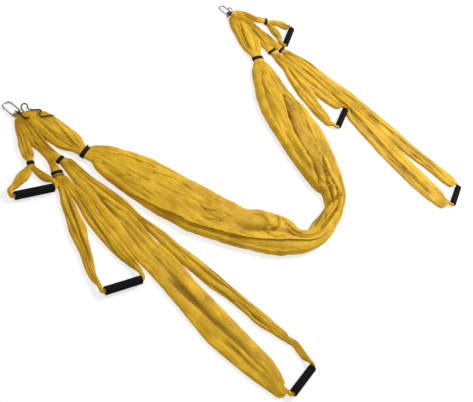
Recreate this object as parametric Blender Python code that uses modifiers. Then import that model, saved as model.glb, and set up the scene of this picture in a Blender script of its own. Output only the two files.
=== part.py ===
"""Yoga trapeze swing laid out flat on the floor: a hammock cloth, six handle slings, two carabiners.

Metres, +Z up. The floor is z = 0 and the origin is under the middle of the layout. The near half
(-Y) and the far half (+Y) each have one carabiner, whose bar runs along Y, and the slings point to +X.
Floor places are written from the near carabiner's bar, then moved by PLAN_CENTRE.
"""
import bpy
import bmesh
import math
from mathutils import Matrix, Vector

# clearances
CLEARANCE = 0.0004
OVERRUN = 0.004

# carabiner
WIRE_DIAMETER = 0.006
CARABINER_LENGTH = 0.060
CARABINER_WIDTH = 0.040
BAR_CORNER = 0.0035
BOW_CORNER = 0.0125
GATE_DIAMETER = 0.0056
GATE_LENGTH = 0.028
HINGE_FROM_BAR = 0.0115
HINGE_TONGUE = 0.0022
TONGUE_RADIUS = 0.0025
GATE_PIN_DIAMETER = 0.002
LATCH_THICKNESS = 0.0019
LATCH_WIDTH = 0.0032
LATCH_LENGTH = 0.0038
GATE_END_GAP = 0.0008

# eyes and cord on the bar
EYE_THICKNESS = 0.0044
EYE_WIDTH = 0.0032
CORD_DIAMETER = 0.004
CORD_GAP = 0.0010
STACK_GAP = 0.0003

# handle grips
GRIP_LENGTH = 0.125
FOAM_DIAMETER = 0.028
FOAM_WALL = 0.0045
FOAM_EDGE = 0.0015
TUBE_WALL = 0.002
TUBE_RECESS = 0.002
CORE_GAP = 0.0006

# webbing bands round the necks
BAND_WIDTH = 0.012
BAND_THICKNESS = 0.0018
BAND_TAB = 0.007
NECK_MARGIN = 0.0015
HAMMOCK_BAND_WIDTH = 0.015
FOLDED_BAND_WIDTH = 0.018
FOLDED_BAND_GAP = 0.004
FOLDED_BAND_EDGE = 0.003

# cloth heights where it lies
HAMMOCK_HEIGHT = 0.044
HAMMOCK_NECK_HEIGHT = 0.020
HAMMOCK_NECK_WIDTH = 0.048
FAR_HAMMOCK_NECK_WIDTH = 0.057
SLING_HEIGHT = 0.018
THROAT_HEIGHT = 0.0065

# layout: sizes that the places below are shares of
HAMMOCK_DEPTH = 1.0
BAR_SPAN = 1.142
BAR_OFFSET = 0.118
HAMMOCK_HALF_WIDTH = 0.1
LAYOUT_WIDTH = 0.1
HAMMOCK_HEAD = 0.2375
LONG_HEAD = 0.2085
MEDIUM_HEAD = 0.242
SHORT_HEAD = 0.162
FAR_HAMMOCK_HEAD = 0.2395
FAR_LONG_HEAD = 0.276
FAR_MEDIUM_HEAD = 0.254
FAR_SHORT_HEAD = 0.127
LONG_DROP = 1.0715
MEDIUM_DROP = 0.402
SHORT_DROP = 0.0825
FAR_LONG_DROP = 1.0491
FAR_MEDIUM_DROP = 0.4337
FAR_SHORT_DROP = 0.1235
LONG_NECK_WIDTH = 0.032
FAR_LONG_NECK_WIDTH = 0.045
MEDIUM_NECK_WIDTH = 0.036
SHORT_NECK_WIDTH = 0.021
FAR_SHORT_NECK_WIDTH = 0.034
FAR_MEDIUM_NECK_WIDTH = 0.052
SLING_NECK_HEIGHT = 0.014
NEAR_BAR = (-0.7185, -0.380)
PLAN_CENTRE = (-0.0149, 0.1961)

# shape of a cross-section
SLING_SIDES = 10
HAMMOCK_SIDES = 16
EYE_SIDES = 12
CORD_STEPS = 8
TURN_SIDES = 20
flank_share = 0.35
flat_start_share = 0.30
top_power_share = 0.7
leg_spread_share = 1.05
sling_fold_share = 0.28
hammock_fold_share = 0.20
SLING_FOLDS = 2.5
HAMMOCK_FOLDS = 3.5

# colours
CLOTH_COLOUR = (0.70, 0.36, 0.035, 1.0)
BLACK_WEBBING = (0.012, 0.012, 0.013, 1.0)
BLACK_FOAM = (0.016, 0.016, 0.018, 1.0)
TUBE_COLOUR = (0.03, 0.03, 0.032, 1.0)
STEEL_COLOUR = (0.62, 0.63, 0.65, 1.0)

# Places of the cloth, near half. Rows: along as a share of the head's length or the sling's drop,
# out from the bar's middle away from the hammock, half width, and height, as shares of
# LAYOUT_WIDTH, LAYOUT_WIDTH and the cloth's height.
near_hammock_head_shares = [
    (0.059, -0.07, 0.06, 0.3), (0.086, -0.185, 0.17, 0.38), (0.156, -0.32, 0.295, 0.42),
    (0.261, -0.445, 0.405, 0.47), (0.429, -0.492, 0.45, 0.56), (0.619, -0.541, 0.468, 0.6),
    (0.779, -0.655, 0.396, 0.56),
]
near_long_head_shares = [
    (0.077, 0.026, 0.042, 0.6), (0.168, 0.039, 0.074, 0.7), (0.336, 0.05, 0.08, 0.85),
    (0.528, 0.096, 0.106, 0.95), (0.729, 0.132, 0.098, 0.95),
]
near_medium_head_shares = [
    (0.062, 0.113, 0.03, 0.6), (0.14, 0.183, 0.056, 0.7), (0.281, 0.274, 0.127, 0.85),
    (0.446, 0.339, 0.118, 0.95), (0.62, 0.36, 0.092, 0.95), (0.748, 0.386, 0.09, 0.95),
    (0.86, 0.464, 0.114, 0.95),
]
near_short_head_shares = [
    (0.09, 0.196, 0.032, 0.55), (0.16, 0.282, 0.052, 0.6), (0.287, 0.41, 0.076, 0.75),
    (0.457, 0.556, 0.093, 0.95), (0.642, 0.686, 0.176, 1.0), (0.827, 0.822, 0.195, 0.95),
]
far_hammock_head_shares = [
    (0.065, -0.055, 0.055, 0.3), (0.099, -0.12, 0.144, 0.4), (0.172, -0.179, 0.262, 0.5),
    (0.301, -0.255, 0.388, 0.6), (0.468, -0.36, 0.465, 0.65), (0.635, -0.518, 0.496, 0.64),
    (0.777, -0.695, 0.436, 0.58),
]
far_medium_head_shares = [
    (0.061, 0.063, 0.028, 0.6), (0.12, 0.128, 0.04, 0.7), (0.215, 0.218, 0.076, 0.8),
    (0.352, 0.285, 0.122, 0.9), (0.516, 0.303, 0.18, 1.0), (0.673, 0.26, 0.23, 1.0),
    (0.811, 0.19, 0.24, 0.95),
]
far_long_head_shares = [
    (0.062, 0.175, 0.045, 0.6), (0.118, 0.325, 0.088, 0.7), (0.201, 0.505, 0.155, 0.8),
    (0.328, 0.598, 0.146, 0.9), (0.471, 0.645, 0.134, 0.95), (0.616, 0.704, 0.148, 0.95),
    (0.743, 0.73, 0.17, 0.95), (0.851, 0.73, 0.19, 0.9),
]
far_short_head_shares = [
    (0.085, 0.235, 0.04, 0.48), (0.091, 0.41, 0.12, 0.62), (0.22, 0.655, 0.14, 0.85),
    (0.441, 0.885, 0.14, 1.0), (0.646, 1.015, 0.15, 1.0),
]

# Necks: out as a share of LAYOUT_WIDTH. The heading is in degrees, to the left of +X.
near_hammock_neck_share = -0.70
near_long_neck_share = 0.15
near_medium_neck_share = 0.605
near_short_neck_share = 0.99
far_hammock_neck_share = -0.96
far_medium_neck_share = 0.13
far_long_neck_share = 0.705
far_short_neck_share = 1.41
NEAR_HAMMOCK_HEADING = 14.0
NEAR_LONG_HEADING = 12.0
NEAR_MEDIUM_HEADING = -22.0
NEAR_SHORT_HEADING = -28.0
FAR_HAMMOCK_HEADING = -22.0
FAR_MEDIUM_HEADING = -2.0
FAR_LONG_HEADING = 6.0
FAR_SHORT_HEADING = 30.0

# Legs: inner first, towards the hammock, then outer. Along is a share of the drop, from the neck.
near_long_inner_shares = [
    (0.015, -0.042, 0.082, 0.8), (0.057, -0.1, 0.085, 0.85), (0.099, -0.134, 0.079, 0.85),
    (0.166, -0.247, 0.089, 0.9), (0.233, -0.34, 0.11, 0.9), (0.288, -0.326, 0.097, 0.9),
    (0.379, -0.396, 0.193, 1.0), (0.439, -0.415, 0.206, 1.0), (0.52, -0.488, 0.269, 1.0),
    (0.594, -0.542, 0.271, 1.0), (0.659, -0.623, 0.221, 1.0), (0.724, -0.683, 0.215, 0.95),
    (0.785, -0.728, 0.242, 0.95), (0.838, -0.81, 0.18, 0.9), (0.873, -0.866, 0.16, 0.85),
    (0.893, -0.874, 0.111, 0.75), (0.916, -0.944, 0.116, 0.85), (0.946, -0.893, 0.127, 0.85),
    (0.967, -0.837, 0.118, 0.85),
]
near_long_outer_shares = [
    (0.015, 0.16, 0.09, 0.8), (0.057, 0.17, 0.13, 0.85), (0.099, 0.185, 0.185, 0.85),
    (0.165, 0.155, 0.26, 0.85), (0.23, 0.21, 0.39, 0.85), (0.286, 0.26, 0.44, 0.85),
    (0.379, 0.36, 0.466, 0.85), (0.444, 0.371, 0.502, 0.85), (0.514, 0.448, 0.52, 0.85),
    (0.639, 0.591, 0.565, 0.85), (0.715, 0.652, 0.595, 0.85), (0.785, 0.648, 0.554, 0.85),
    (0.841, 0.646, 0.51, 0.9), (0.885, 0.629, 0.474, 0.9), (0.918, 0.66, 0.399, 0.9),
    (0.943, 0.702, 0.321, 0.9), (0.963, 0.722, 0.241, 0.85),
]
near_medium_inner_shares = [
    (0.05, 0.588, 0.131, 0.8), (0.134, 0.61, 0.13, 0.85), (0.224, 0.625, 0.165, 0.9),
    (0.332, 0.722, 0.216, 0.95), (0.43, 0.849, 0.235, 1.0), (0.556, 0.93, 0.249, 1.0),
    (0.682, 1.006, 0.231, 1.0), (0.806, 1.056, 0.206, 0.95), (0.905, 1.069, 0.154, 0.9),
]
near_medium_outer_shares = [
    (0.05, 0.755, 0.085, 0.8), (0.131, 0.905, 0.112, 0.85), (0.234, 1.117, 0.192, 0.9),
    (0.339, 1.311, 0.225, 0.95), (0.44, 1.521, 0.272, 1.0), (0.526, 1.73, 0.215, 1.0),
    (0.625, 1.931, 0.17, 0.95), (0.712, 2.154, 0.152, 0.95), (0.796, 2.333, 0.101, 0.9),
]
near_short_inner_shares = [
    (0.224, 1.029, 0.082, 0.8), (0.483, 1.022, 0.109, 0.9), (0.739, 0.995, 0.131, 0.9),
]
near_short_outer_shares = [
    (0.078, 1.14, 0.075, 0.8), (0.183, 1.295, 0.145, 0.9), (0.245, 1.49, 0.167, 0.9),
    (0.286, 1.69, 0.143, 0.9), (0.348, 1.88, 0.105, 0.9),
]
far_medium_inner_shares = [
    (0.052, 0.045, 0.085, 0.8), (0.128, -0.003, 0.142, 0.85), (0.218, -0.006, 0.175, 0.9),
    (0.334, -0.164, 0.274, 0.95), (0.452, -0.31, 0.33, 1.0), (0.564, -0.419, 0.379, 1.0),
    (0.681, -0.52, 0.36, 1.0), (0.796, -0.642, 0.335, 1.0), (0.878, -0.687, 0.271, 0.95),
    (0.928, -0.75, 0.201, 0.9),
]
far_medium_outer_shares = [
    (0.052, 0.245, 0.085, 0.8), (0.128, 0.295, 0.095, 0.85), (0.22, 0.35, 0.12, 0.9),
    (0.336, 0.38, 0.19, 0.95), (0.453, 0.44, 0.24, 0.95), (0.564, 0.5, 0.27, 1.0),
    (0.682, 0.453, 0.355, 1.0), (0.799, 0.542, 0.317, 1.0), (0.875, 0.613, 0.245, 0.95),
]
far_long_inner_shares = [
    (0.021, 0.69, 0.08, 0.8), (0.072, 0.72, 0.15, 0.85), (0.119, 0.85, 0.165, 0.85),
    (0.191, 0.95, 0.145, 0.85), (0.262, 1.02, 0.14, 0.85), (0.317, 1.07, 0.13, 0.85),
    (0.357, 1.1, 0.15, 0.85), (0.391, 1.06, 0.2, 0.85), (0.419, 0.886, 0.372, 0.85),
    (0.473, 0.826, 0.443, 0.85), (0.548, 0.804, 0.516, 0.85), (0.619, 0.764, 0.585, 0.85),
    (0.691, 0.753, 0.597, 0.85), (0.786, 0.689, 0.589, 0.85), (0.881, 0.711, 0.55, 0.85),
    (0.927, 0.759, 0.495, 0.9), (0.956, 0.773, 0.443, 0.9),
]
far_long_outer_shares = [
    (0.02, 0.875, 0.086, 0.8), (0.073, 1.098, 0.137, 0.85), (0.119, 1.266, 0.186, 0.9),
    (0.191, 1.349, 0.189, 0.95), (0.262, 1.464, 0.235, 0.95), (0.317, 1.576, 0.287, 1.0),
    (0.382, 1.686, 0.336, 1.0), (0.468, 1.72, 0.34, 1.0), (0.567, 1.806, 0.396, 1.0),
    (0.659, 1.862, 0.378, 1.0), (0.758, 1.966, 0.353, 1.0), (0.823, 2.093, 0.338, 1.0),
    (0.881, 2.179, 0.352, 1.0), (0.927, 2.254, 0.368, 1.0), (0.959, 2.326, 0.319, 0.95),
]
far_short_inner_shares = [
    (0.139, 1.42, 0.09, 0.8), (0.302, 1.41, 0.15, 0.9), (0.516, 1.37, 0.21, 0.95),
    (0.713, 1.31, 0.159, 0.9),
]
far_short_outer_shares = [
    (0.098, 1.58, 0.09, 0.8), (0.198, 1.794, 0.119, 0.9), (0.323, 1.975, 0.146, 0.95),
    (0.486, 2.15, 0.2, 0.95), (0.649, 2.27, 0.14, 0.9),
]

# Hammock body from the near neck to the far neck: place as shares of HAMMOCK_DEPTH and
# BAR_SPAN from the near bar, half width as a share of HAMMOCK_HALF_WIDTH, and height share.
hammock_body_shares = [
    (0.261, 0.08, 0.38, 0.55), (0.295, 0.092, 0.57, 0.65), (0.346, 0.107, 0.74, 0.76),
    (0.431, 0.134, 0.9, 0.85), (0.528, 0.159, 0.96, 0.9), (0.629, 0.189, 0.97, 0.95),
    (0.724, 0.226, 0.87, 1.0), (0.808, 0.264, 0.78, 1.0), (0.872, 0.311, 0.85, 1.0),
    (0.932, 0.348, 0.79, 1.0), (0.993, 0.382, 0.48, 1.0), (1.027, 0.432, 0.39, 1.0),
    (1.033, 0.498, 0.44, 0.95), (1.032, 0.552, 0.39, 0.95), (1.025, 0.599, 0.37, 0.95),
    (1.007, 0.628, 0.45, 1.0), (0.981, 0.659, 0.58, 1.0), (0.924, 0.685, 0.86, 1.0),
    (0.84, 0.718, 1.06, 0.97), (0.751, 0.755, 1.18, 0.95), (0.656, 0.783, 1.19, 0.92),
    (0.568, 0.807, 1.04, 0.88), (0.482, 0.849, 0.79, 0.8), (0.42, 0.884, 0.6, 0.66),
    (0.385, 0.904, 0.38, 0.55),
]

# Grips: along share of the drop, out share of LAYOUT_WIDTH, heading of the axis in degrees.
near_long_grip_shares = (1.0, -0.07)
near_medium_grip_shares = (1.0, 1.879)
near_short_grip_shares = (1.0, 1.647)
far_long_grip_shares = (1.0, 1.66)
far_medium_grip_shares = (1.0, 0.038)
far_short_grip_shares = (1.0, 1.698)
NEAR_LONG_GRIP_HEADING = 85.0
NEAR_MEDIUM_GRIP_HEADING = 64.0
NEAR_SHORT_GRIP_HEADING = 65.0
FAR_LONG_GRIP_HEADING = 96.5
FAR_MEDIUM_GRIP_HEADING = 101.5
FAR_SHORT_GRIP_HEADING = 107.5

# Turn of the cloth from a leg into a grip's end: beyond the end and to the leg's side, as shares
# of the core's diameter, and how far the half width has drawn in.
turn_shares = [(1.33, 2.55, 1.08), (1.33, 1.25, 1.05), (1.0, 0.25, 1.0)]

# Cord routes on the floor plan (metres from the plan's zero), off each end of its turns on the bar.
NEAR_CORD_LOOP = [
    (-0.7123, -0.3624, 0.0077), (-0.7133, -0.3570, 0.0053), (-0.7180, -0.3535, 0.0030),
    (-0.7255, -0.3516, 0.0024), (-0.7335, -0.3472, 0.0024), (-0.7390, -0.3380, 0.0024),
    (-0.7380, -0.3285, 0.0024), (-0.7305, -0.3247, 0.0024), (-0.7230, -0.3290, 0.0034),
    (-0.7180, -0.3365, 0.0085), (-0.7135, -0.3415, 0.0150), (-0.7070, -0.3430, 0.0190),
    (-0.6990, -0.3370, 0.0200), (-0.6900, -0.3220, 0.0195), (-0.6825, -0.3150, 0.0210),
    (-0.6745, -0.3260, 0.0235), (-0.6680, -0.3345, 0.0245), (-0.6585, -0.3330, 0.0250),
    (-0.6520, -0.3180, 0.0245), (-0.6455, -0.3020, 0.0228), (-0.6425, -0.2930, 0.0190),
]
NEAR_CORD_TAIL = [
    (-0.7150, -0.3806, 0.0174), (-0.7090, -0.3790, 0.0174), (-0.7015, -0.3780, 0.0160),
    (-0.6925, -0.3780, 0.0155), (-0.6855, -0.3740, 0.0175), (-0.6810, -0.3640, 0.0212),
]
FAR_CORD_LOOP = [
    (-0.5939, 0.7440, 0.0076), (-0.5941, 0.7380, 0.0058), (-0.5950, 0.7310, 0.0045),
]
FAR_CORD_TAIL = [
    (-0.5964, 0.7630, 0.0187), (-0.5958, 0.7670, 0.0204), (-0.5990, 0.7725, 0.0224),
    (-0.6065, 0.7755, 0.0240), (-0.6140, 0.7750, 0.0245), (-0.6195, 0.7705, 0.0240),
    (-0.6190, 0.7640, 0.0230), (-0.6130, 0.7600, 0.0215),
]

for thing in list(bpy.data.objects):
    bpy.data.objects.remove(thing, do_unlink=True)

parts = bpy.data.collections.new("yoga_trapeze_swing")
bpy.context.scene.collection.children.link(parts)
cutters = bpy.data.collections.new("cutters")
bpy.context.scene.collection.children.link(cutters)

bar_radius = WIRE_DIAMETER / 2
eye_inner = bar_radius + CLEARANCE
eye_outer = eye_inner + EYE_THICKNESS
cord_radius = CORD_DIAMETER / 2
turn_radius = (eye_inner + cord_radius) / math.cos(math.pi / CORD_STEPS)
bar_height = turn_radius + cord_radius + CLEARANCE / 4
grip_height = FOAM_DIAMETER / 2
tube_outer = grip_height - FOAM_WALL
core_radius = tube_outer - TUBE_WALL - CORE_GAP
core_half = core_radius * math.cos(math.pi / SLING_SIDES)
bar_reach = CARABINER_LENGTH - WIRE_DIAMETER
neck_base = BAND_THICKNESS + CLEARANCE
point_weight = 1


def near_far(side):
    """Bar centre on the floor plan, for side -1 (near) or +1 (far)."""
    x, y = NEAR_BAR
    if side > 0:
        x, y = x + BAR_OFFSET, y + BAR_SPAN
    return Vector((x - PLAN_CENTRE[0], y - PLAN_CENTRE[1], bar_height))


def material(name, colour, roughness, metallic=0.0):
    made = bpy.data.materials.new(name)
    made.use_nodes = True
    shader = made.node_tree.nodes["Principled BSDF"]
    shader.inputs["Base Color"].default_value = colour
    shader.inputs["Roughness"].default_value = roughness
    shader.inputs["Metallic"].default_value = metallic
    made.diffuse_color = colour
    return made


def add_mesh(name, bm, collection=parts):
    bmesh.ops.recalc_face_normals(bm, faces=bm.faces)
    mesh = bpy.data.meshes.new(name)
    bm.to_mesh(mesh)
    bm.free()
    made = bpy.data.objects.new(name, mesh)
    collection.objects.link(made)
    if collection is cutters:
        made.hide_render = True
        made.display_type = "WIRE"
    return made


def finish(made, look, colour, roughness, metallic=0.0, smooth_angle=35.0):
    made.data.materials.clear()
    made.data.materials.append(material(look, colour, roughness, metallic))
    if made.type == "MESH":
        made.data.shade_smooth()
        made.data.set_sharp_from_angle(angle=math.radians(smooth_angle))
    return made


def as_mesh(source, name, collection=parts):
    """A real mesh from an object with a curve or modifiers, in world space, caps welded."""
    bpy.context.view_layer.update()
    graph = bpy.context.evaluated_depsgraph_get()
    mesh = bpy.data.meshes.new_from_object(source.evaluated_get(graph))
    mesh.transform(source.matrix_world)
    bm = bmesh.new()
    bm.from_mesh(mesh)
    bmesh.ops.remove_doubles(bm, verts=bm.verts, dist=CLEARANCE / 100)
    bpy.data.objects.remove(source, do_unlink=True)
    return add_mesh(name, bm, collection)


def combine(base, others, operation, name, crossing=False):
    """Boolean of the base with each other object; the others are used up."""
    for other in others:
        step = base.modifiers.new("cut", "BOOLEAN")
        step.operation = operation
        step.solver = "EXACT"
        step.use_self = crossing
        step.object = other
    made = as_mesh(base, name)
    made.name = name
    for other in others:
        bpy.data.objects.remove(other, do_unlink=True)
    return made


def turned(name, profile, steps, collection=parts):
    """Closed profile of (radius, height) points turned round local Z with a Screw modifier."""
    mesh = bpy.data.meshes.new(name)
    points = [(radius, 0, height) for radius, height in profile]
    mesh.from_pydata(points, [(i, (i + 1) % len(points)) for i in range(len(points))], [])
    made = bpy.data.objects.new(name, mesh)
    collection.objects.link(made)
    turn = made.modifiers.new("turn", "SCREW")
    turn.steps = steps
    turn.render_steps = steps
    turn.use_merge_vertices = True
    turn.merge_threshold = CLEARANCE / 10
    return made


def block(name, size, centre, rotation=None, collection=cutters):
    bm = bmesh.new()
    bmesh.ops.create_cube(bm, size=1.0)
    bmesh.ops.scale(bm, vec=size, verts=bm.verts)
    if rotation is not None:
        bmesh.ops.transform(bm, matrix=rotation, verts=bm.verts)
    bmesh.ops.translate(bm, vec=centre, verts=bm.verts)
    return add_mesh(name, bm, collection)


def rod(name, radius, length, centre, axis, sides=16, collection=cutters):
    bm = bmesh.new()
    bmesh.ops.create_cone(bm, cap_ends=True, segments=sides, radius1=radius, radius2=radius, depth=length)
    turn = Vector((0, 0, 1)).rotation_difference(Vector(axis)).to_matrix().to_4x4()
    bmesh.ops.transform(bm, matrix=Matrix.Translation(centre) @ turn, verts=bm.verts)
    return add_mesh(name, bm, collection)


def cross_section(sides, half_width, height, base, roundness, fold_share, folds):
    """Outline of gathered cloth: flat below, folded on top, or round where roundness is 1."""
    outline = []
    offset = 0.5 if sides % 4 == 0 else 0.0
    angles = [2 * math.pi * (i + offset) / sides for i in range(sides)]
    wide = max(math.cos(angle) for angle in angles)
    tall = max(math.sin(angle) for angle in angles)
    for angle in angles:
        across, rise = math.cos(angle) / wide, math.sin(angle) / tall
        if rise < 0:
            flat = flank_share * max(0.0, 1 + rise / flat_start_share)
        else:
            crease = 0.5 - 0.5 * math.cos(2 * math.pi * folds * (across + 1) / 2)
            flat = flank_share + (1 - flank_share) * rise ** top_power_share * (1 - fold_share * crease)
        full = 0.5 + 0.5 * rise
        outline.append((across * half_width, base + height * (flat + (full - flat) * roundness)))
    return outline


def strip(name, rows, sides, fold_share, folds, collection=parts):
    """Loft along rows of (place, heading or None, half width, height, base, roundness)."""
    bm = bmesh.new()
    rings = []
    for i, (place, heading, half_width, height, base, roundness) in enumerate(rows):
        if heading is None:
            before = rows[max(i - 1, 0)][0]
            after = rows[min(i + 1, len(rows) - 1)][0]
            back, ahead = (place - before), (after - place)
            back = back.normalized() if back.length else ahead.normalized()
            ahead = ahead.normalized() if ahead.length else back
            along = (back + ahead).normalized()
        else:
            along = Vector((math.cos(heading), math.sin(heading)))
        left = Vector((-along.y, along.x))
        ring = []
        for across, up in cross_section(sides, half_width, height, base, roundness, fold_share, folds):
            ring.append(bm.verts.new((place.x + left.x * across, place.y + left.y * across, up)))
        rings.append(ring)
    for first, second in zip(rings, rings[1:]):
        for i in range(sides):
            j = (i + 1) % sides
            bm.faces.new((first[i], first[j], second[j], second[i]))
    bm.faces.new(rings[0])
    bm.faces.new(list(reversed(rings[-1])))
    return add_mesh(name, bm, collection)


def eye(name, centre, side_offset):
    """Ring of gathered cloth on the bar, turned round Y."""
    half = EYE_WIDTH / 2
    profile = [(eye_outer, half), (eye_outer, -half), (eye_inner, -half), (eye_inner, half)]
    made = turned(name, profile, EYE_SIDES, cutters)
    step = math.pi / EYE_SIDES
    made.matrix_world = (
        Matrix.Translation(centre + Vector((0, side_offset, 0)))
        @ Matrix.Rotation(math.radians(90), 4, "X")
        @ Matrix.Rotation(step, 4, "Z")
    )
    return as_mesh(made, name, cutters)


def stack_places():
    """Offsets along the bar, from the hammock's end outwards, of cord turns and eyes."""
    order = ["cord_a", "cord_b", "hammock", "cord_c", "first", "second", "third"]
    widths = [CORD_DIAMETER if name.startswith("cord") else EYE_WIDTH for name in order]
    gaps = [CORD_GAP] + [STACK_GAP] * (len(order) - 2)
    total = sum(widths) + sum(gaps)
    places = {}
    start = -total / 2
    for name, width, gap in zip(order, widths, gaps + [0.0]):
        places[name] = start + width / 2
        start += width + gap
    return places


stack = stack_places()


def floor_place(side, head, along, out_share):
    """Floor place from the bar of a side: along +X, out away from the hammock."""
    bar = near_far(side)
    return Vector((bar.x + head + along, bar.y + side * out_share * LAYOUT_WIDTH))


def throat_rows(side, slot):
    """First rows of a head: inside the eye, then just outside the cord's turns."""
    bar = near_far(side)
    y = bar.y + side * stack[slot]
    inside = eye_inner + EYE_THICKNESS / 2
    width = EYE_WIDTH / 2 - CLEARANCE / 2
    base = bar_height - THROAT_HEIGHT / 2
    return [
        (Vector((bar.x + inside, y)), 0.0, width, THROAT_HEIGHT, base, 1.0),
        (Vector((bar.x + eye_outer + CLEARANCE, y)), 0.0, width, THROAT_HEIGHT, base, 1.0),
    ]


def head_rows(side, slot, shares, head, neck_share, neck_width, neck_height, heading, tall, band_width):
    rows = throat_rows(side, slot)
    for i, (along, out, half, height) in enumerate(shares):
        low = bar_height / 4 if i == 0 else 0.0
        round_now = 0.6 if i == 0 else 0.0
        rows.append(
            (
                floor_place(side, 0.0, along * head, out), None, half * LAYOUT_WIDTH, height * tall,
                low, round_now,
            )
        )
    turn = math.radians(heading)
    neck = floor_place(side, head, 0.0, neck_share)
    step = Vector((math.cos(turn), math.sin(turn))) * (band_width / 2 + NECK_MARGIN)
    for place in (neck - step, neck + step):
        rows.append((place, turn, neck_width / 2, neck_height, neck_base, 1.0))
    return rows, neck, turn


def grip_turn_rows(end, axis, leg_side, last):
    """Rows that turn from a leg into a grip's end. The axis points out of the grip."""
    rows = []
    across = Vector((-axis.y, axis.x)) * leg_side
    for beyond, beside, wider in turn_shares:
        place = end + axis * (beyond * core_half) + across * (beside * core_half)
        lift = grip_height - core_half
        rows.append((place, None, core_half * wider, core_half * 2, lift, 1.0))
    heading = math.atan2(-axis.y, -axis.x)
    rows.append((end + axis * CLEARANCE * 2, heading, core_half, core_half * 2, grip_height - core_half, 1.0))
    return rows


def sling(
    name, side, slot, head, head_shares, neck_share, neck_width, heading, drop, inner, outer,
    grip_share, grip_heading,
):
    """One sling: eye, head, banded neck, two legs and the core through its grip."""
    band_width = FOLDED_BAND_WIDTH if name.startswith("near_medium") else BAND_WIDTH
    rows, neck, turn = head_rows(
        side, slot, head_shares, head, neck_share, neck_width, SLING_NECK_HEIGHT, heading, SLING_HEIGHT, band_width
    )
    body = strip(name, rows, SLING_SIDES, sling_fold_share, SLING_FOLDS)
    centre = floor_place(side, head, grip_share[0] * drop, grip_share[1])
    axis_turn = math.radians(grip_heading)
    axis = Vector((math.cos(axis_turn), math.sin(axis_turn)))
    towards_hammock = -side * axis
    step = Vector((math.cos(turn), math.sin(turn)))
    start = neck + step * (band_width / 2 + NECK_MARGIN - CLEARANCE)
    legs = []
    for shares, sign in ((inner, 1), (outer, -1)):
        leg = [(start, turn, neck_width / 2 * 0.8, SLING_NECK_HEIGHT * 0.8, neck_base * 1.5, 1.0)]
        for along, out, half, height in shares:
            place = floor_place(side, head, along * drop, out)
            leg.append((place, None, half * LAYOUT_WIDTH * leg_spread_share, height * SLING_HEIGHT, 0.0, 0.0))
        outward = towards_hammock * sign
        end = centre + outward * (GRIP_LENGTH / 2)
        across = Vector((-outward.y, outward.x))
        leg_side = 1 if (leg[-1][0] - end).dot(across) > 0 else -1
        leg += grip_turn_rows(end, outward, leg_side, leg[-1])
        legs.append(leg)
    loop_rows = legs[0] + list(reversed(legs[1]))
    fixed = []
    for place, direction, half, height, base, roundness in loop_rows:
        fixed.append((place, direction, half, height, base, roundness))
    count = len(legs[0])
    for i in range(count, len(fixed)):
        place, direction, half, height, base, roundness = fixed[i]
        if direction is not None:
            fixed[i] = (place, direction + math.pi, half, height, base, roundness)
    loop = strip(name + "_loop", fixed, SLING_SIDES, sling_fold_share, SLING_FOLDS, cutters)
    ring = eye(name + "_eye", near_far(side), side * stack[slot])
    made = combine(body, [loop, ring], "UNION", name, True)
    finish(made, name + "_cloth", CLOTH_COLOUR, 0.75)
    return neck, turn, centre, axis_turn


def hammock():
    near_rows, near_neck, near_turn = head_rows(
        -1, "hammock", near_hammock_head_shares, HAMMOCK_HEAD, near_hammock_neck_share,
        HAMMOCK_NECK_WIDTH, HAMMOCK_NECK_HEIGHT, NEAR_HAMMOCK_HEADING, HAMMOCK_HEIGHT, HAMMOCK_BAND_WIDTH,
    )
    far_rows, far_neck, far_turn = head_rows(
        1, "hammock", far_hammock_head_shares, FAR_HAMMOCK_HEAD, far_hammock_neck_share,
        FAR_HAMMOCK_NECK_WIDTH, HAMMOCK_NECK_HEIGHT, FAR_HAMMOCK_HEADING, HAMMOCK_HEIGHT, HAMMOCK_BAND_WIDTH,
    )
    bar = near_far(-1)
    body_rows = []
    for x, y, half, height in hammock_body_shares:
        place = Vector((bar.x + x * HAMMOCK_DEPTH, bar.y + y * BAR_SPAN))
        body_rows.append((place, None, half * HAMMOCK_HALF_WIDTH, height * HAMMOCK_HEIGHT, 0.0, 0.0))
    back = []
    for place, heading, half, height, base, roundness in reversed(far_rows):
        turned_back = None if heading is None else heading + math.pi
        back.append((place, turned_back, half, height, base, roundness))
    rows = near_rows + body_rows + back
    body = strip("hammock_cloth", rows, HAMMOCK_SIDES, hammock_fold_share, HAMMOCK_FOLDS)
    rings = [
        eye("near_eye", near_far(-1), -stack["hammock"]),
        eye("far_eye", near_far(1), stack["hammock"]),
    ]
    made = combine(body, rings, "UNION", "hammock_cloth")
    finish(made, "hammock_cloth_look", CLOTH_COLOUR, 0.75)
    return (near_neck, near_turn), (far_neck, far_turn)


def grown(outline, distance):
    """The outline moved outward by a distance, edge by edge."""
    points = [Vector(point) for point in outline]
    made = []
    count = len(points)
    for i in range(count):
        before, here, after = points[i - 1], points[i], points[(i + 1) % count]
        one = (here - before).normalized()
        two = (after - here).normalized()
        normal_one = Vector((one.y, -one.x))
        normal_two = Vector((two.y, -two.x))
        mean = (normal_one + normal_two).normalized()
        made.append(here + mean * (distance / max(mean.dot(normal_one), 0.5)))
    return made


def band_ring(name, sides, neck_width, neck_height, length, collection):
    """Closed loop of webbing: the neck's outline grown twice and extruded."""
    inside = cross_section(sides, neck_width / 2, neck_height, neck_base, 1.0, 0.0, 1)
    curve = bpy.data.curves.new(name, "CURVE")
    curve.dimensions = "2D"
    curve.fill_mode = "BOTH"
    curve.extrude = length / 2
    for distance in (CLEARANCE, CLEARANCE + BAND_THICKNESS):
        points = grown(inside, distance)
        spline = curve.splines.new("POLY")
        spline.points.add(len(points) - 1)
        for point, slot in zip(points, spline.points):
            slot.co = (point.x, point.y, 0, point_weight)
        spline.use_cyclic_u = True
    made = bpy.data.objects.new(name, curve)
    collection.objects.link(made)
    return made


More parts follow.
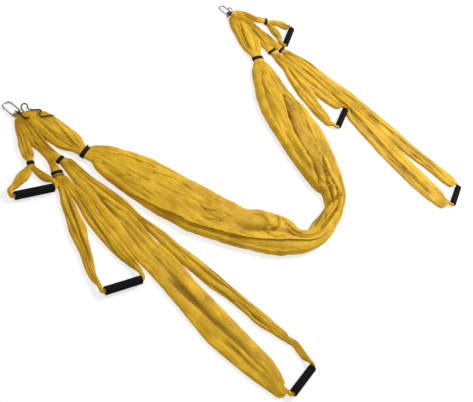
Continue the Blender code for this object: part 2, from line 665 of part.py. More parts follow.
def band_frame(neck, turn, shift=0.0):
    """Matrix that lays a band's outline across the neck: local X across, Y up, Z along."""
    along = Vector((math.cos(turn), math.sin(turn), 0))
    left = Vector((-along.y, along.x, 0))
    frame = Matrix((left, Vector((0, 0, 1)), along)).transposed().to_4x4()
    place = Vector((neck.x, neck.y, 0)) + along * shift
    return Matrix.Translation(place) @ frame


def band(name, neck, turn, sides, neck_width, neck_height, width, tabs=False, folded=False, outward=1):
    """Webbing band on a neck, with two short free ends or a folded-over second edge."""
    length = width - FOLDED_BAND_GAP - FOLDED_BAND_EDGE if folded else width
    base = band_ring(name + "_ring", sides, neck_width, neck_height, length, cutters)
    shift = (length - width) / 2
    base.matrix_world = band_frame(neck, turn, shift)
    body = as_mesh(base, name)
    extra = []
    reach = neck_width / 2 + CLEARANCE + BAND_THICKNESS
    middle = neck_base + neck_height / 2
    if folded:
        second = band_ring(name + "_edge", sides, neck_width, neck_height, FOLDED_BAND_EDGE, cutters)
        second.matrix_world = band_frame(neck, turn, (width - FOLDED_BAND_EDGE) / 2)
        extra.append(as_mesh(second, name + "_edge", cutters))
        bridge = block(
            name + "_bridge",
            (BAND_THICKNESS * 0.8, neck_height / 3, width * 0.9),
            (outward * (reach - BAND_THICKNESS * 0.5), middle, 0),
        )
        bridge.matrix_world = band_frame(neck, turn)
        extra.append(as_mesh(bridge, name + "_bridge", cutters))
    if tabs:
        for sign in (-1, 1):
            lean = Matrix.Rotation(math.radians(sign * 16.0), 4, "Y")
            tab = block(
                name + "_tab",
                (BAND_TAB, BAND_THICKNESS, width * 0.36),
                (outward * (reach + BAND_TAB * 0.36), middle, sign * width * 0.22),
                lean,
            )
            tab.matrix_world = band_frame(neck, turn)
            extra.append(as_mesh(tab, name + "_tab", cutters))
    if extra:
        body = combine(body, extra, "UNION", name)
    finish(body, name + "_webbing", BLACK_WEBBING, 0.8, 0.0, 50.0)
    return body


def grip(name, centre, axis_turn):
    """Foam sleeve on a thin tube, both turned, with their origin on the grip's axis."""
    half = GRIP_LENGTH / 2
    bore = tube_outer + CLEARANCE / 2
    foam_profile = [
        (grip_height - FOAM_EDGE, half), (grip_height, half - FOAM_EDGE),
        (grip_height, FOAM_EDGE - half), (grip_height - FOAM_EDGE, -half),
        (bore + FOAM_EDGE / 3, -half), (bore, FOAM_EDGE / 3 - half),
        (bore, half - FOAM_EDGE / 3), (bore + FOAM_EDGE / 3, half),
    ]
    tube_half = half - TUBE_RECESS
    outer = tube_outer - CLEARANCE / 2
    inner = outer - TUBE_WALL
    tube_profile = [(outer, tube_half), (outer, -tube_half), (inner, -tube_half), (inner, tube_half)]
    place = Vector((centre.x, centre.y, grip_height))
    lay = Matrix.Rotation(axis_turn, 4, "Z") @ Matrix.Rotation(math.radians(90), 4, "Y")
    for suffix, profile, colour, rough in (
        ("_foam", foam_profile, BLACK_FOAM, 0.9), ("_tube", tube_profile, TUBE_COLOUR, 0.5),
    ):
        made = turned(name + suffix, profile, TURN_SIDES)
        made.matrix_world = Matrix.Translation(place) @ lay
        finish(made, name + suffix + "_look", colour, rough)


def smooth_points(points, step):
    """Points about a step apart on a smooth curve through the given points."""
    padded = [points[0] * 2 - points[1]] + points + [points[-1] * 2 - points[-2]]
    made = []
    for i in range(1, len(padded) - 2):
        a, b, c, d = padded[i - 1], padded[i], padded[i + 1], padded[i + 2]
        count = max(1, round((c - b).length / step))
        for k in range(count):
            t = k / count
            made.append(
                b + (c - a) * (t / 2) + (a * 2 - b * 5 + c * 4 - d) * (t * t / 2)
                + (b * 3 - a - c * 3 + d) * (t * t * t / 2)
            )
    made.append(points[-1])
    return made


def cord_turns(side):
    """Turns of the cord round the bar, crossing in front of the hammock's eye."""
    bar = near_far(side)
    close = turn_radius
    over = (eye_outer + STACK_GAP + cord_radius) / math.cos(math.pi / CORD_STEPS / 2)
    place = {name: bar.y + side * offset for name, offset in stack.items()}

    def at(degrees, radius, y):
        angle = math.radians(degrees)
        return Vector((bar.x + radius * math.cos(angle), y, bar.z + radius * math.sin(angle)))

    made = []
    for degrees in range(0, -91, -45):
        made.append(at(degrees, close, place["cord_a"]))
    for k in range(3):
        made.append(at(-135 - 45 * k, close, place["cord_a"] + (place["cord_b"] - place["cord_a"]) * k / 3))
    for degrees in range(90, -91, -45):
        made.append(at(degrees, close, place["cord_b"]))
    gap = place["cord_c"] - place["cord_b"]
    for degrees, lift, share in (
        (-115, 0.12, 0.0), (-135, 0.52, 0.0), (-150, 1.0, 0.0), (-180, 1.0, 0.5),
        (-212, 1.0, 1.0), (-240, 0.6, 1.0),
        (-264, 0.25, 1.0),
    ):
        made.append(at(degrees, close + (over - close) * lift, place["cord_b"] + gap * share))
    return made


def least_self_gap(points):
    """Least gap of a cord's surface to itself, between places over three diameters apart along it."""
    along = [0.0]
    for one, two in zip(points, points[1:]):
        along.append(along[-1] + (two - one).length)
    least = CARABINER_LENGTH
    for i, one in enumerate(points):
        for j in range(i + 1, len(points)):
            if along[j] - along[i] > CORD_DIAMETER * 3:
                least = min(least, (points[j] - one).length - CORD_DIAMETER)
    return least, along[-1]


def cord(name, side, loop, tail):
    """Free cord: one end of the turns makes a loop, the other a short tail."""
    def on_plan(point):
        return Vector((point[0] - PLAN_CENTRE[0], point[1] - PLAN_CENTRE[1], point[2]))

    before = [on_plan(point) for point in reversed(loop)]
    after = [on_plan(point) for point in tail]
    route = before + cord_turns(side) + after
    gap, length = least_self_gap(smooth_points(route, CORD_DIAMETER / 4))
    print(name, "length", round(length, 4), "m, least gap to itself", round(gap, 5), "m")
    points = smooth_points(route, CORD_DIAMETER * 2)
    curve = bpy.data.curves.new(name, "CURVE")
    curve.dimensions = "3D"
    curve.bevel_depth = cord_radius
    curve.bevel_resolution = 2
    curve.use_fill_caps = True
    spline = curve.splines.new("POLY")
    spline.points.add(len(points) - 1)
    for point, slot in zip(points, spline.points):
        slot.co = (point.x, point.y, point.z, point_weight)
    made = bpy.data.objects.new(name, curve)
    parts.objects.link(made)
    return finish(made, name + "_look", BLACK_WEBBING, 0.7)


def corner_points(centre, radius, start, end, steps):
    points = []
    for k in range(steps + 1):
        angle = math.radians(start + (end - start) * k / steps)
        points.append(Vector((centre[0] + radius * math.cos(angle), centre[1] + radius * math.sin(angle), 0)))
    return points


def carabiner(prefix, side):
    """Wire body, gate and hinge pin. Local frame: bar centre at the origin, bow towards -X."""
    half = (CARABINER_WIDTH - WIRE_DIAMETER) / 2
    gate_y = side * half
    hinge_x = -HINGE_FROM_BAR
    nose_x = hinge_x - GATE_LENGTH
    body_start = hinge_x + GATE_DIAMETER / 2 + GATE_END_GAP
    body_end = nose_x - CLEARANCE
    gate_radius = GATE_DIAMETER / 2

    path = [Vector((body_start, half, 0))]
    path += corner_points((-BAR_CORNER, half - BAR_CORNER), BAR_CORNER, 90, 0, 5)
    path += corner_points((-BAR_CORNER, BAR_CORNER - half), BAR_CORNER, 0, -90, 5)
    path += corner_points((BOW_CORNER - bar_reach, BOW_CORNER - half), BOW_CORNER, -90, -180, 7)
    path += corner_points((BOW_CORNER - bar_reach, half - BOW_CORNER), BOW_CORNER, 180, 90, 7)
    path.append(Vector((body_end, half, 0)))
    curve = bpy.data.curves.new(prefix + "_wire", "CURVE")
    curve.dimensions = "3D"
    curve.bevel_depth = bar_radius
    curve.bevel_resolution = 3
    curve.use_fill_caps = True
    spline = curve.splines.new("POLY")
    spline.points.add(len(path) - 1)
    for point, slot in zip(path, spline.points):
        slot.co = (point.x, point.y * side, 0, point_weight)
    wire = bpy.data.objects.new(prefix + "_wire", curve)
    cutters.objects.link(wire)
    body = as_mesh(wire, prefix + "_carabiner_body")

    tongue_end = rod("tongue_end", TONGUE_RADIUS, HINGE_TONGUE, (hinge_x, gate_y, 0), (0, 0, 1))
    tongue_reach = body_start - hinge_x + OVERRUN / 2
    tongue = block(
        "tongue", (tongue_reach, TONGUE_RADIUS * 1.9, HINGE_TONGUE * 0.98),
        (hinge_x + tongue_reach / 2, gate_y, 0),
    )
    latch_reach = LATCH_LENGTH + OVERRUN / 2
    latch = block(
        "latch", (latch_reach, LATCH_WIDTH, LATCH_THICKNESS),
        (body_end - OVERRUN / 2 + latch_reach / 2, gate_y, 0),
    )
    body = combine(body, [tongue_end, tongue, latch], "UNION", prefix + "_carabiner_body")
    hinge_place = (hinge_x, gate_y, 0)
    bore_radius = GATE_PIN_DIAMETER / 2 + CLEARANCE
    bore = rod("bore", bore_radius, GATE_DIAMETER + OVERRUN, hinge_place, (0, 0, 1))
    body = combine(body, [bore], "DIFFERENCE", prefix + "_carabiner_body")

    gate = rod(
        prefix + "_gate_bar", gate_radius, GATE_LENGTH,
        (hinge_x - GATE_LENGTH / 2, gate_y, 0), (1, 0, 0), 16, parts
    )
    ball_mesh = bmesh.new()
    turn = Matrix.Translation((hinge_x, gate_y, 0)) @ Matrix.Rotation(math.radians(90), 4, "Y")
    ball_radius = gate_radius - CLEARANCE / 10
    bmesh.ops.create_uvsphere(ball_mesh, u_segments=16, v_segments=8, radius=ball_radius, matrix=turn)
    ball = add_mesh("ball", ball_mesh, cutters)
    gate = combine(gate, [ball], "UNION", prefix + "_carabiner_gate")
    slot_length = TONGUE_RADIUS + CLEARANCE + GATE_DIAMETER
    fork = block(
        "fork", (slot_length, GATE_DIAMETER + OVERRUN, HINGE_TONGUE + CLEARANCE * 2),
        (hinge_x - TONGUE_RADIUS - CLEARANCE + slot_length / 2, gate_y, 0),
    )
    latch_slot = block(
        "latch_slot",
        (LATCH_LENGTH + CLEARANCE * 2 + OVERRUN, GATE_DIAMETER + OVERRUN, LATCH_THICKNESS + CLEARANCE * 2),
        (nose_x + (LATCH_LENGTH + CLEARANCE * 2 - OVERRUN) / 2, gate_y, 0),
    )
    pin_hole = rod("pin_hole", bore_radius, GATE_DIAMETER + OVERRUN, hinge_place, (0, 0, 1))
    gate = combine(gate, [fork, latch_slot, pin_hole], "DIFFERENCE", prefix + "_carabiner_gate")

    pin = rod(
        prefix + "_gate_pin", GATE_PIN_DIAMETER / 2, GATE_DIAMETER * 0.96, hinge_place,
        (0, 0, 1), 12, parts
    )

    tilt = math.asin((bar_height - bar_radius) / bar_reach)
    holder = bpy.data.objects.new(prefix + "_carabiner_axis", None)
    holder.location = near_far(side)
    holder.rotation_euler = (0, -tilt, 0)
    parts.objects.link(holder)
    hinge = bpy.data.objects.new(prefix + "_gate_axis", None)
    hinge.parent = holder
    hinge.location = (hinge_x, gate_y, 0)
    parts.objects.link(hinge)
    body.parent = holder
    pin.parent = holder
    gate.parent = hinge
    gate.matrix_parent_inverse = Matrix.Translation((-hinge_x, -gate_y, 0))
    finish(body, prefix + "_body_steel", STEEL_COLOUR, 0.25, 1.0)
    finish(gate, prefix + "_gate_steel", STEEL_COLOUR, 0.25, 1.0)
    finish(pin, prefix + "_pin_steel", STEEL_COLOUR, 0.35, 1.0)


near_ring, far_ring = hammock()
slings = [
    ("near_long", -1, "first", LONG_HEAD, near_long_head_shares, near_long_neck_share, LONG_NECK_WIDTH,
     NEAR_LONG_HEADING, LONG_DROP, near_long_inner_shares, near_long_outer_shares,
     near_long_grip_shares, NEAR_LONG_GRIP_HEADING),
    ("near_medium", -1, "second", MEDIUM_HEAD, near_medium_head_shares, near_medium_neck_share,
     MEDIUM_NECK_WIDTH, NEAR_MEDIUM_HEADING, MEDIUM_DROP, near_medium_inner_shares,
     near_medium_outer_shares, near_medium_grip_shares, NEAR_MEDIUM_GRIP_HEADING),
    ("near_short", -1, "third", SHORT_HEAD, near_short_head_shares, near_short_neck_share,
     SHORT_NECK_WIDTH, NEAR_SHORT_HEADING, SHORT_DROP, near_short_inner_shares,
     near_short_outer_shares, near_short_grip_shares, NEAR_SHORT_GRIP_HEADING),
    ("far_medium", 1, "first", FAR_MEDIUM_HEAD, far_medium_head_shares, far_medium_neck_share,
     FAR_MEDIUM_NECK_WIDTH, FAR_MEDIUM_HEADING, FAR_MEDIUM_DROP, far_medium_inner_shares,
     far_medium_outer_shares, far_medium_grip_shares, FAR_MEDIUM_GRIP_HEADING),
    ("far_long", 1, "second", FAR_LONG_HEAD, far_long_head_shares, far_long_neck_share, FAR_LONG_NECK_WIDTH,
     FAR_LONG_HEADING, FAR_LONG_DROP, far_long_inner_shares, far_long_outer_shares,
     far_long_grip_shares, FAR_LONG_GRIP_HEADING),
    ("far_short", 1, "third", FAR_SHORT_HEAD, far_short_head_shares, far_short_neck_share,
     FAR_SHORT_NECK_WIDTH, FAR_SHORT_HEADING, FAR_SHORT_DROP, far_short_inner_shares,
     far_short_outer_shares, far_short_grip_shares, FAR_SHORT_GRIP_HEADING),
]
for (prefix, side, slot, head, head_shares, neck_share, neck_width, heading, drop,
     inner_shares, outer_shares, grip_shares, grip_heading) in slings:
    neck_place, neck_turn, grip_centre, grip_turn = sling(
        prefix + "_sling", side, slot, head, head_shares, neck_share, neck_width, heading, drop,
        inner_shares, outer_shares, grip_shares, grip_heading,
    )
    folded = prefix == "near_medium"
    band(prefix + "_band", neck_place, neck_turn, SLING_SIDES, neck_width, SLING_NECK_HEIGHT,
         FOLDED_BAND_WIDTH if folded else BAND_WIDTH, prefix == "far_short", folded, -1 if folded else 1)
    grip(prefix + "_grip", grip_centre, grip_turn)
band("near_hammock_band", near_ring[0], near_ring[1], HAMMOCK_SIDES, HAMMOCK_NECK_WIDTH, HAMMOCK_NECK_HEIGHT,
     HAMMOCK_BAND_WIDTH, tabs=True)
band("far_hammock_band", far_ring[0], far_ring[1], HAMMOCK_SIDES, FAR_HAMMOCK_NECK_WIDTH, HAMMOCK_NECK_HEIGHT,
     HAMMOCK_BAND_WIDTH)
cord("near_tie_cord", -1, NEAR_CORD_LOOP, NEAR_CORD_TAIL)
cord("far_tie_cord", 1, FAR_CORD_LOOP, FAR_CORD_TAIL)
carabiner("near", -1)
carabiner("far", 1)

for thing in list(cutters.objects):
    bpy.data.objects.remove(thing, do_unlink=True)
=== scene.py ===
"""Looks of the yoga trapeze swing: gathered cloth, webbing bands, cords, foam grips, steel, floor, light."""
import math
import bpy
import numpy as np
from mathutils import Matrix, Vector


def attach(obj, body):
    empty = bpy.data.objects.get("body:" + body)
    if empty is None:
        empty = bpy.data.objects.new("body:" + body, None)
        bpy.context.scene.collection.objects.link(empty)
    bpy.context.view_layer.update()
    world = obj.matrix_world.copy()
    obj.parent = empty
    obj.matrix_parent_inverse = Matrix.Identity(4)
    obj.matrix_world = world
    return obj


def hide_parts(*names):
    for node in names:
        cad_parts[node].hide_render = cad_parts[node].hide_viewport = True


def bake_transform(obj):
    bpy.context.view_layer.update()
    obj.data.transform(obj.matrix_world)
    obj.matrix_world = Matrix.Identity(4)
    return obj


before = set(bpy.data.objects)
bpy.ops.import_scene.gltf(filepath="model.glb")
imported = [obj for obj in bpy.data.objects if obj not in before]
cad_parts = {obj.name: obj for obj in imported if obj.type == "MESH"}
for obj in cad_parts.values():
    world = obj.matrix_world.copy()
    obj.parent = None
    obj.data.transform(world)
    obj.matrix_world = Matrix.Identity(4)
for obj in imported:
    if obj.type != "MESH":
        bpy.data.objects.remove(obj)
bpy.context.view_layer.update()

# Camera and picture
CAMERA_PLACE = (0.0149, -1.6271, 1.705)
CAMERA_ELEVATION = 50.0
CAMERA_ROLL = 43.4
CAMERA_LENS = 45.9
SENSOR_WIDTH = 36.0
PICTURE_WIDTH = 473
PICTURE_HEIGHT = 402

# Sizes in metres, the same as in the solids
CLEARANCE = 0.0004
WIRE_DIAMETER = 0.006
EYE_THICKNESS = 0.0044
EYE_WIDTH = 0.0032
CORD_DIAMETER = 0.004
CORD_GAP = 0.0010
CORD_STEPS = 8
STACK_GAP = 0.0003
GRIP_LENGTH = 0.125
FOAM_DIAMETER = 0.028
FOAM_WALL = 0.0045
TUBE_WALL = 0.002
CORE_GAP = 0.0006
BAND_WIDTH = 0.012
BAND_THICKNESS = 0.0018
BAND_TAB = 0.007
NECK_MARGIN = 0.0015
HAMMOCK_BAND_WIDTH = 0.015
FOLDED_BAND_WIDTH = 0.018
FOLDED_BAND_GAP = 0.004
FOLDED_BAND_EDGE = 0.003
HAMMOCK_HEIGHT = 0.044
HAMMOCK_NECK_HEIGHT = 0.020
SLING_HEIGHT = 0.018
SLING_NECK_HEIGHT = 0.014
SLING_SIDES = 10
THROAT_HEIGHT = 0.0065
HAMMOCK_DEPTH = 1.0
BAR_SPAN = 1.142
BAR_OFFSET = 0.118
HAMMOCK_HALF_WIDTH = 0.1
LAYOUT_WIDTH = 0.1
NEAR_BAR = (-0.7185, -0.380)
PLAN_CENTRE = (-0.0149, 0.1961)
NEAR, FAR = -1, 1
# Millimetres in a metre, and thousandths in a share
MM = 1000

# Section of the laid out cloth: height of its flank, where the flank begins, power of its top's curve
flank_share = 0.35
flat_start_share = 0.30
top_power_share = 0.7
leg_spread_share = 1.05
# Turn of the cloth from a leg into a grip's end: beyond the end and to the leg's side, as shares
# of the core's half, and how far the half width has drawn in.
turn_shares = [(1.33, 2.55, 1.08), (1.33, 1.25, 1.05), (1.0, 0.25, 1.0)]

# Cloth of the slings. Rows of shares are in thousandths: along the head or the drop, out from the
# bar's middle and half width in LAYOUT_WIDTH, height in SLING_HEIGHT. The inner leg is the one
# towards the hammock. Rows of reach, in thousandths too, widen the cloth until it touches its
# neighbours: metres along the head or shares of the drop, then metres inwards and outwards.
# Creases are traced in the picture: pixels, then depth, width and lip on the left in mm.
# Headings are degrees to the left of +X, turns are those of the rolled sheet in head and loop.
near_long = dict(
    side=NEAR, slot="first", head=0.2085, drop=1.0715, neck_width=0.032, neck_share=0.15, heading=12.0,
    grip_share=-0.07, grip_heading=85.0, turns=(3.0, 2.0), flat=(0.2, 2.75),
    head_shares=[
        (77, 26, 42, 600), (168, 39, 74, 700), (336, 50, 80, 850), (528, 96, 106, 950), (729, 132, 98, 950),
    ],
    inner_shares=[
        (15, -42, 82, 800), (57, -100, 85, 850), (99, -134, 79, 850), (166, -247, 89, 900),
        (233, -340, 110, 900), (288, -326, 97, 900), (379, -396, 193, 1000), (439, -415, 206, 1000),
        (520, -488, 269, 1000), (594, -542, 271, 1000), (659, -623, 221, 1000), (724, -683, 215, 950),
        (785, -728, 242, 950), (838, -810, 180, 900), (873, -866, 160, 850), (893, -874, 111, 750),
        (916, -944, 116, 850), (946, -893, 127, 850), (967, -837, 118, 850),
    ],
    outer_shares=[
        (15, 160, 90, 800), (57, 170, 130, 850), (99, 185, 185, 850), (165, 155, 260, 850),
        (230, 210, 390, 850), (286, 260, 440, 850), (379, 360, 466, 850), (444, 371, 502, 850),
        (514, 448, 520, 850), (639, 591, 565, 850), (715, 652, 595, 850), (785, 648, 554, 850),
        (841, 646, 510, 900), (885, 629, 474, 900), (918, 660, 399, 900), (943, 702, 321, 900),
        (963, 722, 241, 850),
    ],
    head_reach=[(16, 1, 1), (35, 1.5, 1.5), (70, 2, 2), (110, 1.5, 3), (152, 0, 4)],
    inner_reach=[(15, 0, 1), (57, 0, 3), (288, 0, 3), (350, 0, 0), (400, 0, 0), (440, 0, 4), (480, 0, 0)],
    outer_reach=[
        (15, 3, 0), (57, 5, 3), (150, 5, 4), (220, 5, 1), (288, 5, 1), (360, 0, 3), (400, 0, 3),
        (440, 5, 3), (480, 0, 0),
    ],
    crease_pixels=[
        ([(170, 280), (184, 294), (200, 309), (216, 324), (232, 337), (246, 350), (256, 361)], 9, 8, -3),
        ([(150, 252), (166, 268), (184, 288), (204, 308)], 4, 5, 0),
        ([(66, 164), (86, 181), (104, 201), (122, 224), (138, 246), (150, 262)], 4.5, 5, 0),
        ([(96, 192), (112, 203), (126, 211), (134, 220), (146, 236)], 7, 5, 2),
        ([(192, 271), (206, 281), (221, 291), (238, 304)], 6, 4, 1.5),
        ([(146, 222), (160, 234), (176, 248), (190, 264)], 4, 4, 0),
        ([(250, 312), (262, 322), (276, 334)], 4, 4, 1),
        ([(28, 120), (38, 134), (50, 149), (58, 158)], 5, 4, 1.5),
    ],
)
near_medium = dict(
    side=NEAR, slot="second", head=0.242, drop=0.402, neck_width=0.036, neck_share=0.605, heading=-22.0,
    grip_share=1.879, grip_heading=64.0, turns=(3.4, 2.4), flat=(0.2, 1.42),
    head_shares=[
        (62, 113, 30, 600), (140, 183, 56, 700), (281, 274, 127, 850), (446, 339, 118, 950),
        (620, 360, 92, 950), (748, 386, 90, 950), (860, 464, 114, 950),
    ],
    inner_shares=[
        (50, 588, 131, 800), (134, 610, 130, 850), (224, 625, 165, 900), (332, 722, 216, 950),
        (430, 849, 235, 1000), (556, 930, 249, 1000), (682, 1006, 231, 1000), (806, 1056, 206, 950),
        (905, 1069, 154, 900),
    ],
    outer_shares=[
        (50, 755, 85, 800), (131, 905, 112, 850), (234, 1117, 192, 900), (339, 1311, 225, 950),
        (440, 1521, 272, 1000), (526, 1730, 215, 1000), (625, 1931, 170, 950), (712, 2154, 152, 950),
        (796, 2333, 101, 900),
    ],
    head_reach=[(15, 1, 1), (34, 1, 2), (68, 1, 4), (108, 1, 2.5), (150, 1.5, 0), (181, 0, 0)],
    inner_reach=[
        (50, 2, 0), (134, 4, 3), (200, 4, 6), (250, 4, 0), (340, 4, 0), (420, 1, 0), (550, 0, 0),
        (650, 3, 0), (800, 3, 0), (950, 0, 0),
    ],
    outer_reach=[(50, 0, 0), (131, 3, 0), (200, 5, 0), (250, 0, 0)],
    crease_pixels=[
        ([(62, 182), (68, 196), (76, 220), (86, 246), (92, 266)], 5, 4, 1),
        ([(72, 184), (86, 206), (102, 232), (118, 256), (132, 270)], 5, 4.5, 1),
        ([(26, 122), (34, 138), (42, 152), (52, 167)], 5, 4, 1),
        ([(30, 118), (38, 136), (48, 156)], 4, 4, 0),
    ],
)
near_short = dict(
    side=NEAR, slot="third", head=0.162, drop=0.0825, neck_width=0.021, neck_share=0.99, heading=-28.0,
    grip_share=1.647, grip_heading=65.0, turns=(4.0, 2.8), flat=(0.2, 0.56),
    head_shares=[
        (90, 196, 32, 550), (160, 282, 52, 600), (287, 410, 76, 750), (457, 556, 93, 950),
        (642, 686, 176, 1000), (827, 822, 195, 950),
    ],
    inner_shares=[(224, 1029, 82, 800), (483, 1022, 109, 900), (739, 995, 131, 900)],
    outer_shares=[
        (78, 1140, 75, 800), (183, 1295, 145, 900), (245, 1490, 167, 900), (286, 1690, 143, 900),
        (348, 1880, 105, 900),
    ],
    head_reach=[(15, 1, 0), (26, 1.5, 0), (46, 2, 0), (74, 6, 0), (104, 3, 0), (134, 0, 0)],
    crease_pixels=[
        ([(21, 126), (25, 140), (29, 156)], 5, 4, 0), ([(22, 180), (17, 190), (14, 198)], 3, 3, 0),
    ],
)
far_medium = dict(
    side=FAR, slot="first", head=0.254, drop=0.4337, neck_width=0.052, neck_share=0.13, heading=-2.0,
    grip_share=0.038, grip_heading=101.5, turns=(3.4, 2.4), flat=(0.2, 1.42),
    head_shares=[
        (61, 63, 28, 600), (120, 128, 40, 700), (215, 218, 76, 800), (352, 285, 122, 900),
        (516, 303, 180, 1000), (673, 260, 230, 1000), (811, 190, 240, 950),
    ],
    inner_shares=[
        (52, 45, 85, 800), (128, -3, 142, 850), (218, -6, 175, 900), (334, -164, 274, 950),
        (452, -310, 330, 1000), (564, -419, 379, 1000), (681, -520, 360, 1000), (796, -642, 335, 1000),
        (878, -687, 271, 950), (928, -750, 201, 900),
    ],
    outer_shares=[
        (52, 245, 85, 800), (128, 295, 95, 850), (220, 350, 120, 900), (336, 380, 190, 950),
        (453, 440, 240, 950), (564, 500, 270, 1000), (682, 453, 355, 1000), (799, 542, 317, 1000),
        (875, 613, 245, 950),
    ],
    head_reach=[(15, 1, 1.5), (55, 1, 3), (89, 2, 2.5), (131, 4, 2), (171, 4, 3.5), (206, 1, 7)],
    inner_reach=[(50, 0, 1), (128, 0, 4), (334, 0, 5), (452, 0, 11), (564, 0, 13), (660, 0, 0)],
    outer_reach=[
        (50, 1, 3), (128, 4, 8), (336, 5, 8), (453, 11, 6), (564, 13, 3), (660, 0, 3), (800, 0, 0),
    ],
    crease_pixels=[
        ([(276, 58), (288, 76), (300, 96), (312, 110), (326, 122)], 5, 4, 1),
        ([(284, 60), (298, 80), (312, 96), (330, 108), (342, 110)], 5, 4, 1),
        ([(244, 18), (256, 32), (268, 46)], 5, 4, 0),
    ],
)
far_long = dict(
    side=FAR, slot="second", head=0.276, drop=1.0491, neck_width=0.045, neck_share=0.705, heading=6.0,
    grip_share=1.66, grip_heading=96.5, turns=(3.0, 2.0), flat=(0.2, 2.75),
    head_shares=[
        (62, 175, 45, 600), (118, 325, 88, 700), (201, 505, 155, 800), (328, 598, 146, 900),
        (471, 645, 134, 950), (616, 704, 148, 950), (743, 730, 170, 950), (851, 730, 190, 900),
    ],
    inner_shares=[
        (21, 690, 80, 800), (72, 720, 150, 850), (119, 850, 165, 850), (191, 950, 145, 850),
        (262, 1020, 140, 850), (317, 1070, 130, 850), (357, 1100, 150, 850), (391, 1060, 200, 850),
        (419, 886, 372, 850), (473, 826, 443, 850), (548, 804, 516, 850), (619, 764, 585, 850),
        (691, 753, 597, 850), (786, 689, 589, 850), (881, 711, 550, 850), (927, 759, 495, 900),
        (956, 773, 443, 900),
    ],
    outer_shares=[
        (20, 875, 86, 800), (73, 1098, 137, 850), (119, 1266, 186, 900), (191, 1349, 189, 950),
        (262, 1464, 235, 950), (317, 1576, 287, 1000), (382, 1686, 336, 1000), (468, 1720, 340, 1000),
        (567, 1806, 396, 1000), (659, 1862, 378, 1000), (758, 1966, 353, 1000), (823, 2093, 338, 1000),
        (881, 2179, 352, 1000), (927, 2254, 368, 1000), (959, 2326, 319, 950),
    ],
    head_reach=[(17, 1, 1), (55, 2, 2), (91, 2, 0), (130, 1, 0), (205, 6, 0), (235, 6, 0)],
    inner_reach=[
        (20, 2, 1), (72, 4, 5), (166, 4, 4), (260, 3, 4), (310, 0, 5), (473, 0, 6), (620, 0, 6),
        (700, 0, 0),
    ],
    outer_reach=[(20, 1, 0), (72, 5, 0), (262, 4, 0), (317, 5, 0), (468, 6, 0), (620, 6, 0), (700, 0, 0)],
    crease_pixels=[
        ([(292, 58), (310, 74), (330, 92), (350, 108), (372, 132), (396, 160), (430, 190)], 6, 5, 2),
        ([(286, 56), (304, 74), (326, 96), (342, 104)], 5, 4, 0),
        ([(372, 136), (392, 160), (414, 178), (436, 198)], 5, 4, 0),
        ([(356, 104), (380, 122), (410, 146), (440, 168)], 5, 4, 1),
        ([(250, 16), (262, 28), (274, 42)], 4, 4, 0),
    ],
)
far_short = dict(
    side=FAR, slot="third", head=0.127, drop=0.1235, neck_width=0.034, neck_share=1.41, heading=30.0,
    grip_share=1.698, grip_heading=107.5, turns=(4.0, 2.8), flat=(0.2, 0.56),
    head_shares=[
        (85, 235, 40, 480), (91, 410, 120, 620), (220, 655, 140, 850), (441, 885, 140, 1000),
        (646, 1015, 150, 1000),
    ],
    inner_shares=[
        (139, 1420, 90, 800), (302, 1410, 150, 900), (516, 1370, 210, 950), (713, 1310, 159, 900),
    ],
    outer_shares=[
        (98, 1580, 90, 800), (198, 1794, 119, 900), (323, 1975, 146, 950), (486, 2150, 200, 950),
        (649, 2270, 140, 900),
    ],
    head_reach=[(11, 1, 0), (28, 2, 0), (56, 0, 0)],
    crease_pixels=[
        ([(242, 12), (254, 18), (262, 22)], 3, 3, 0), ([(270, 26), (276, 36), (284, 48)], 3, 3, 0),
        ([(272, 22), (282, 24), (290, 28)], 3, 3, 0),
    ],
)
SLINGS = dict(
    near_long=near_long, near_medium=near_medium, near_short=near_short, far_medium=far_medium,
    far_long=far_long, far_short=far_short,
)

# Hammock, with its rows the same way; heights in HAMMOCK_HEIGHT
near_hammock = dict(
    side=NEAR, slot="hammock", head=0.2375, neck_width=0.048, neck_share=-0.7, heading=14.0,
    head_shares=[
        (59, -70, 60, 300), (86, -185, 170, 380), (156, -320, 295, 420), (261, -445, 405, 470),
        (429, -492, 450, 560), (619, -541, 468, 600), (779, -655, 396, 560),
    ],
    head_reach=[(14, 0, 0), (20, 0, 2), (62, 0, 4), (102, 0, 4.5), (147, 0, 0)],
)
far_hammock = dict(
    side=FAR, slot="hammock", head=0.2395, neck_width=0.057, neck_share=-0.96, heading=-22.0,
    head_shares=[
        (65, -55, 55, 300), (99, -120, 144, 400), (172, -179, 262, 500), (301, -255, 388, 600),
        (468, -360, 465, 650), (635, -518, 496, 640), (777, -695, 436, 580),
    ],
    head_reach=[(16, 0, 1), (41, 0, 1.5), (72, 0, 2.5), (112, 0, 4), (152, 0, 10), (186, 0, 4)],
)
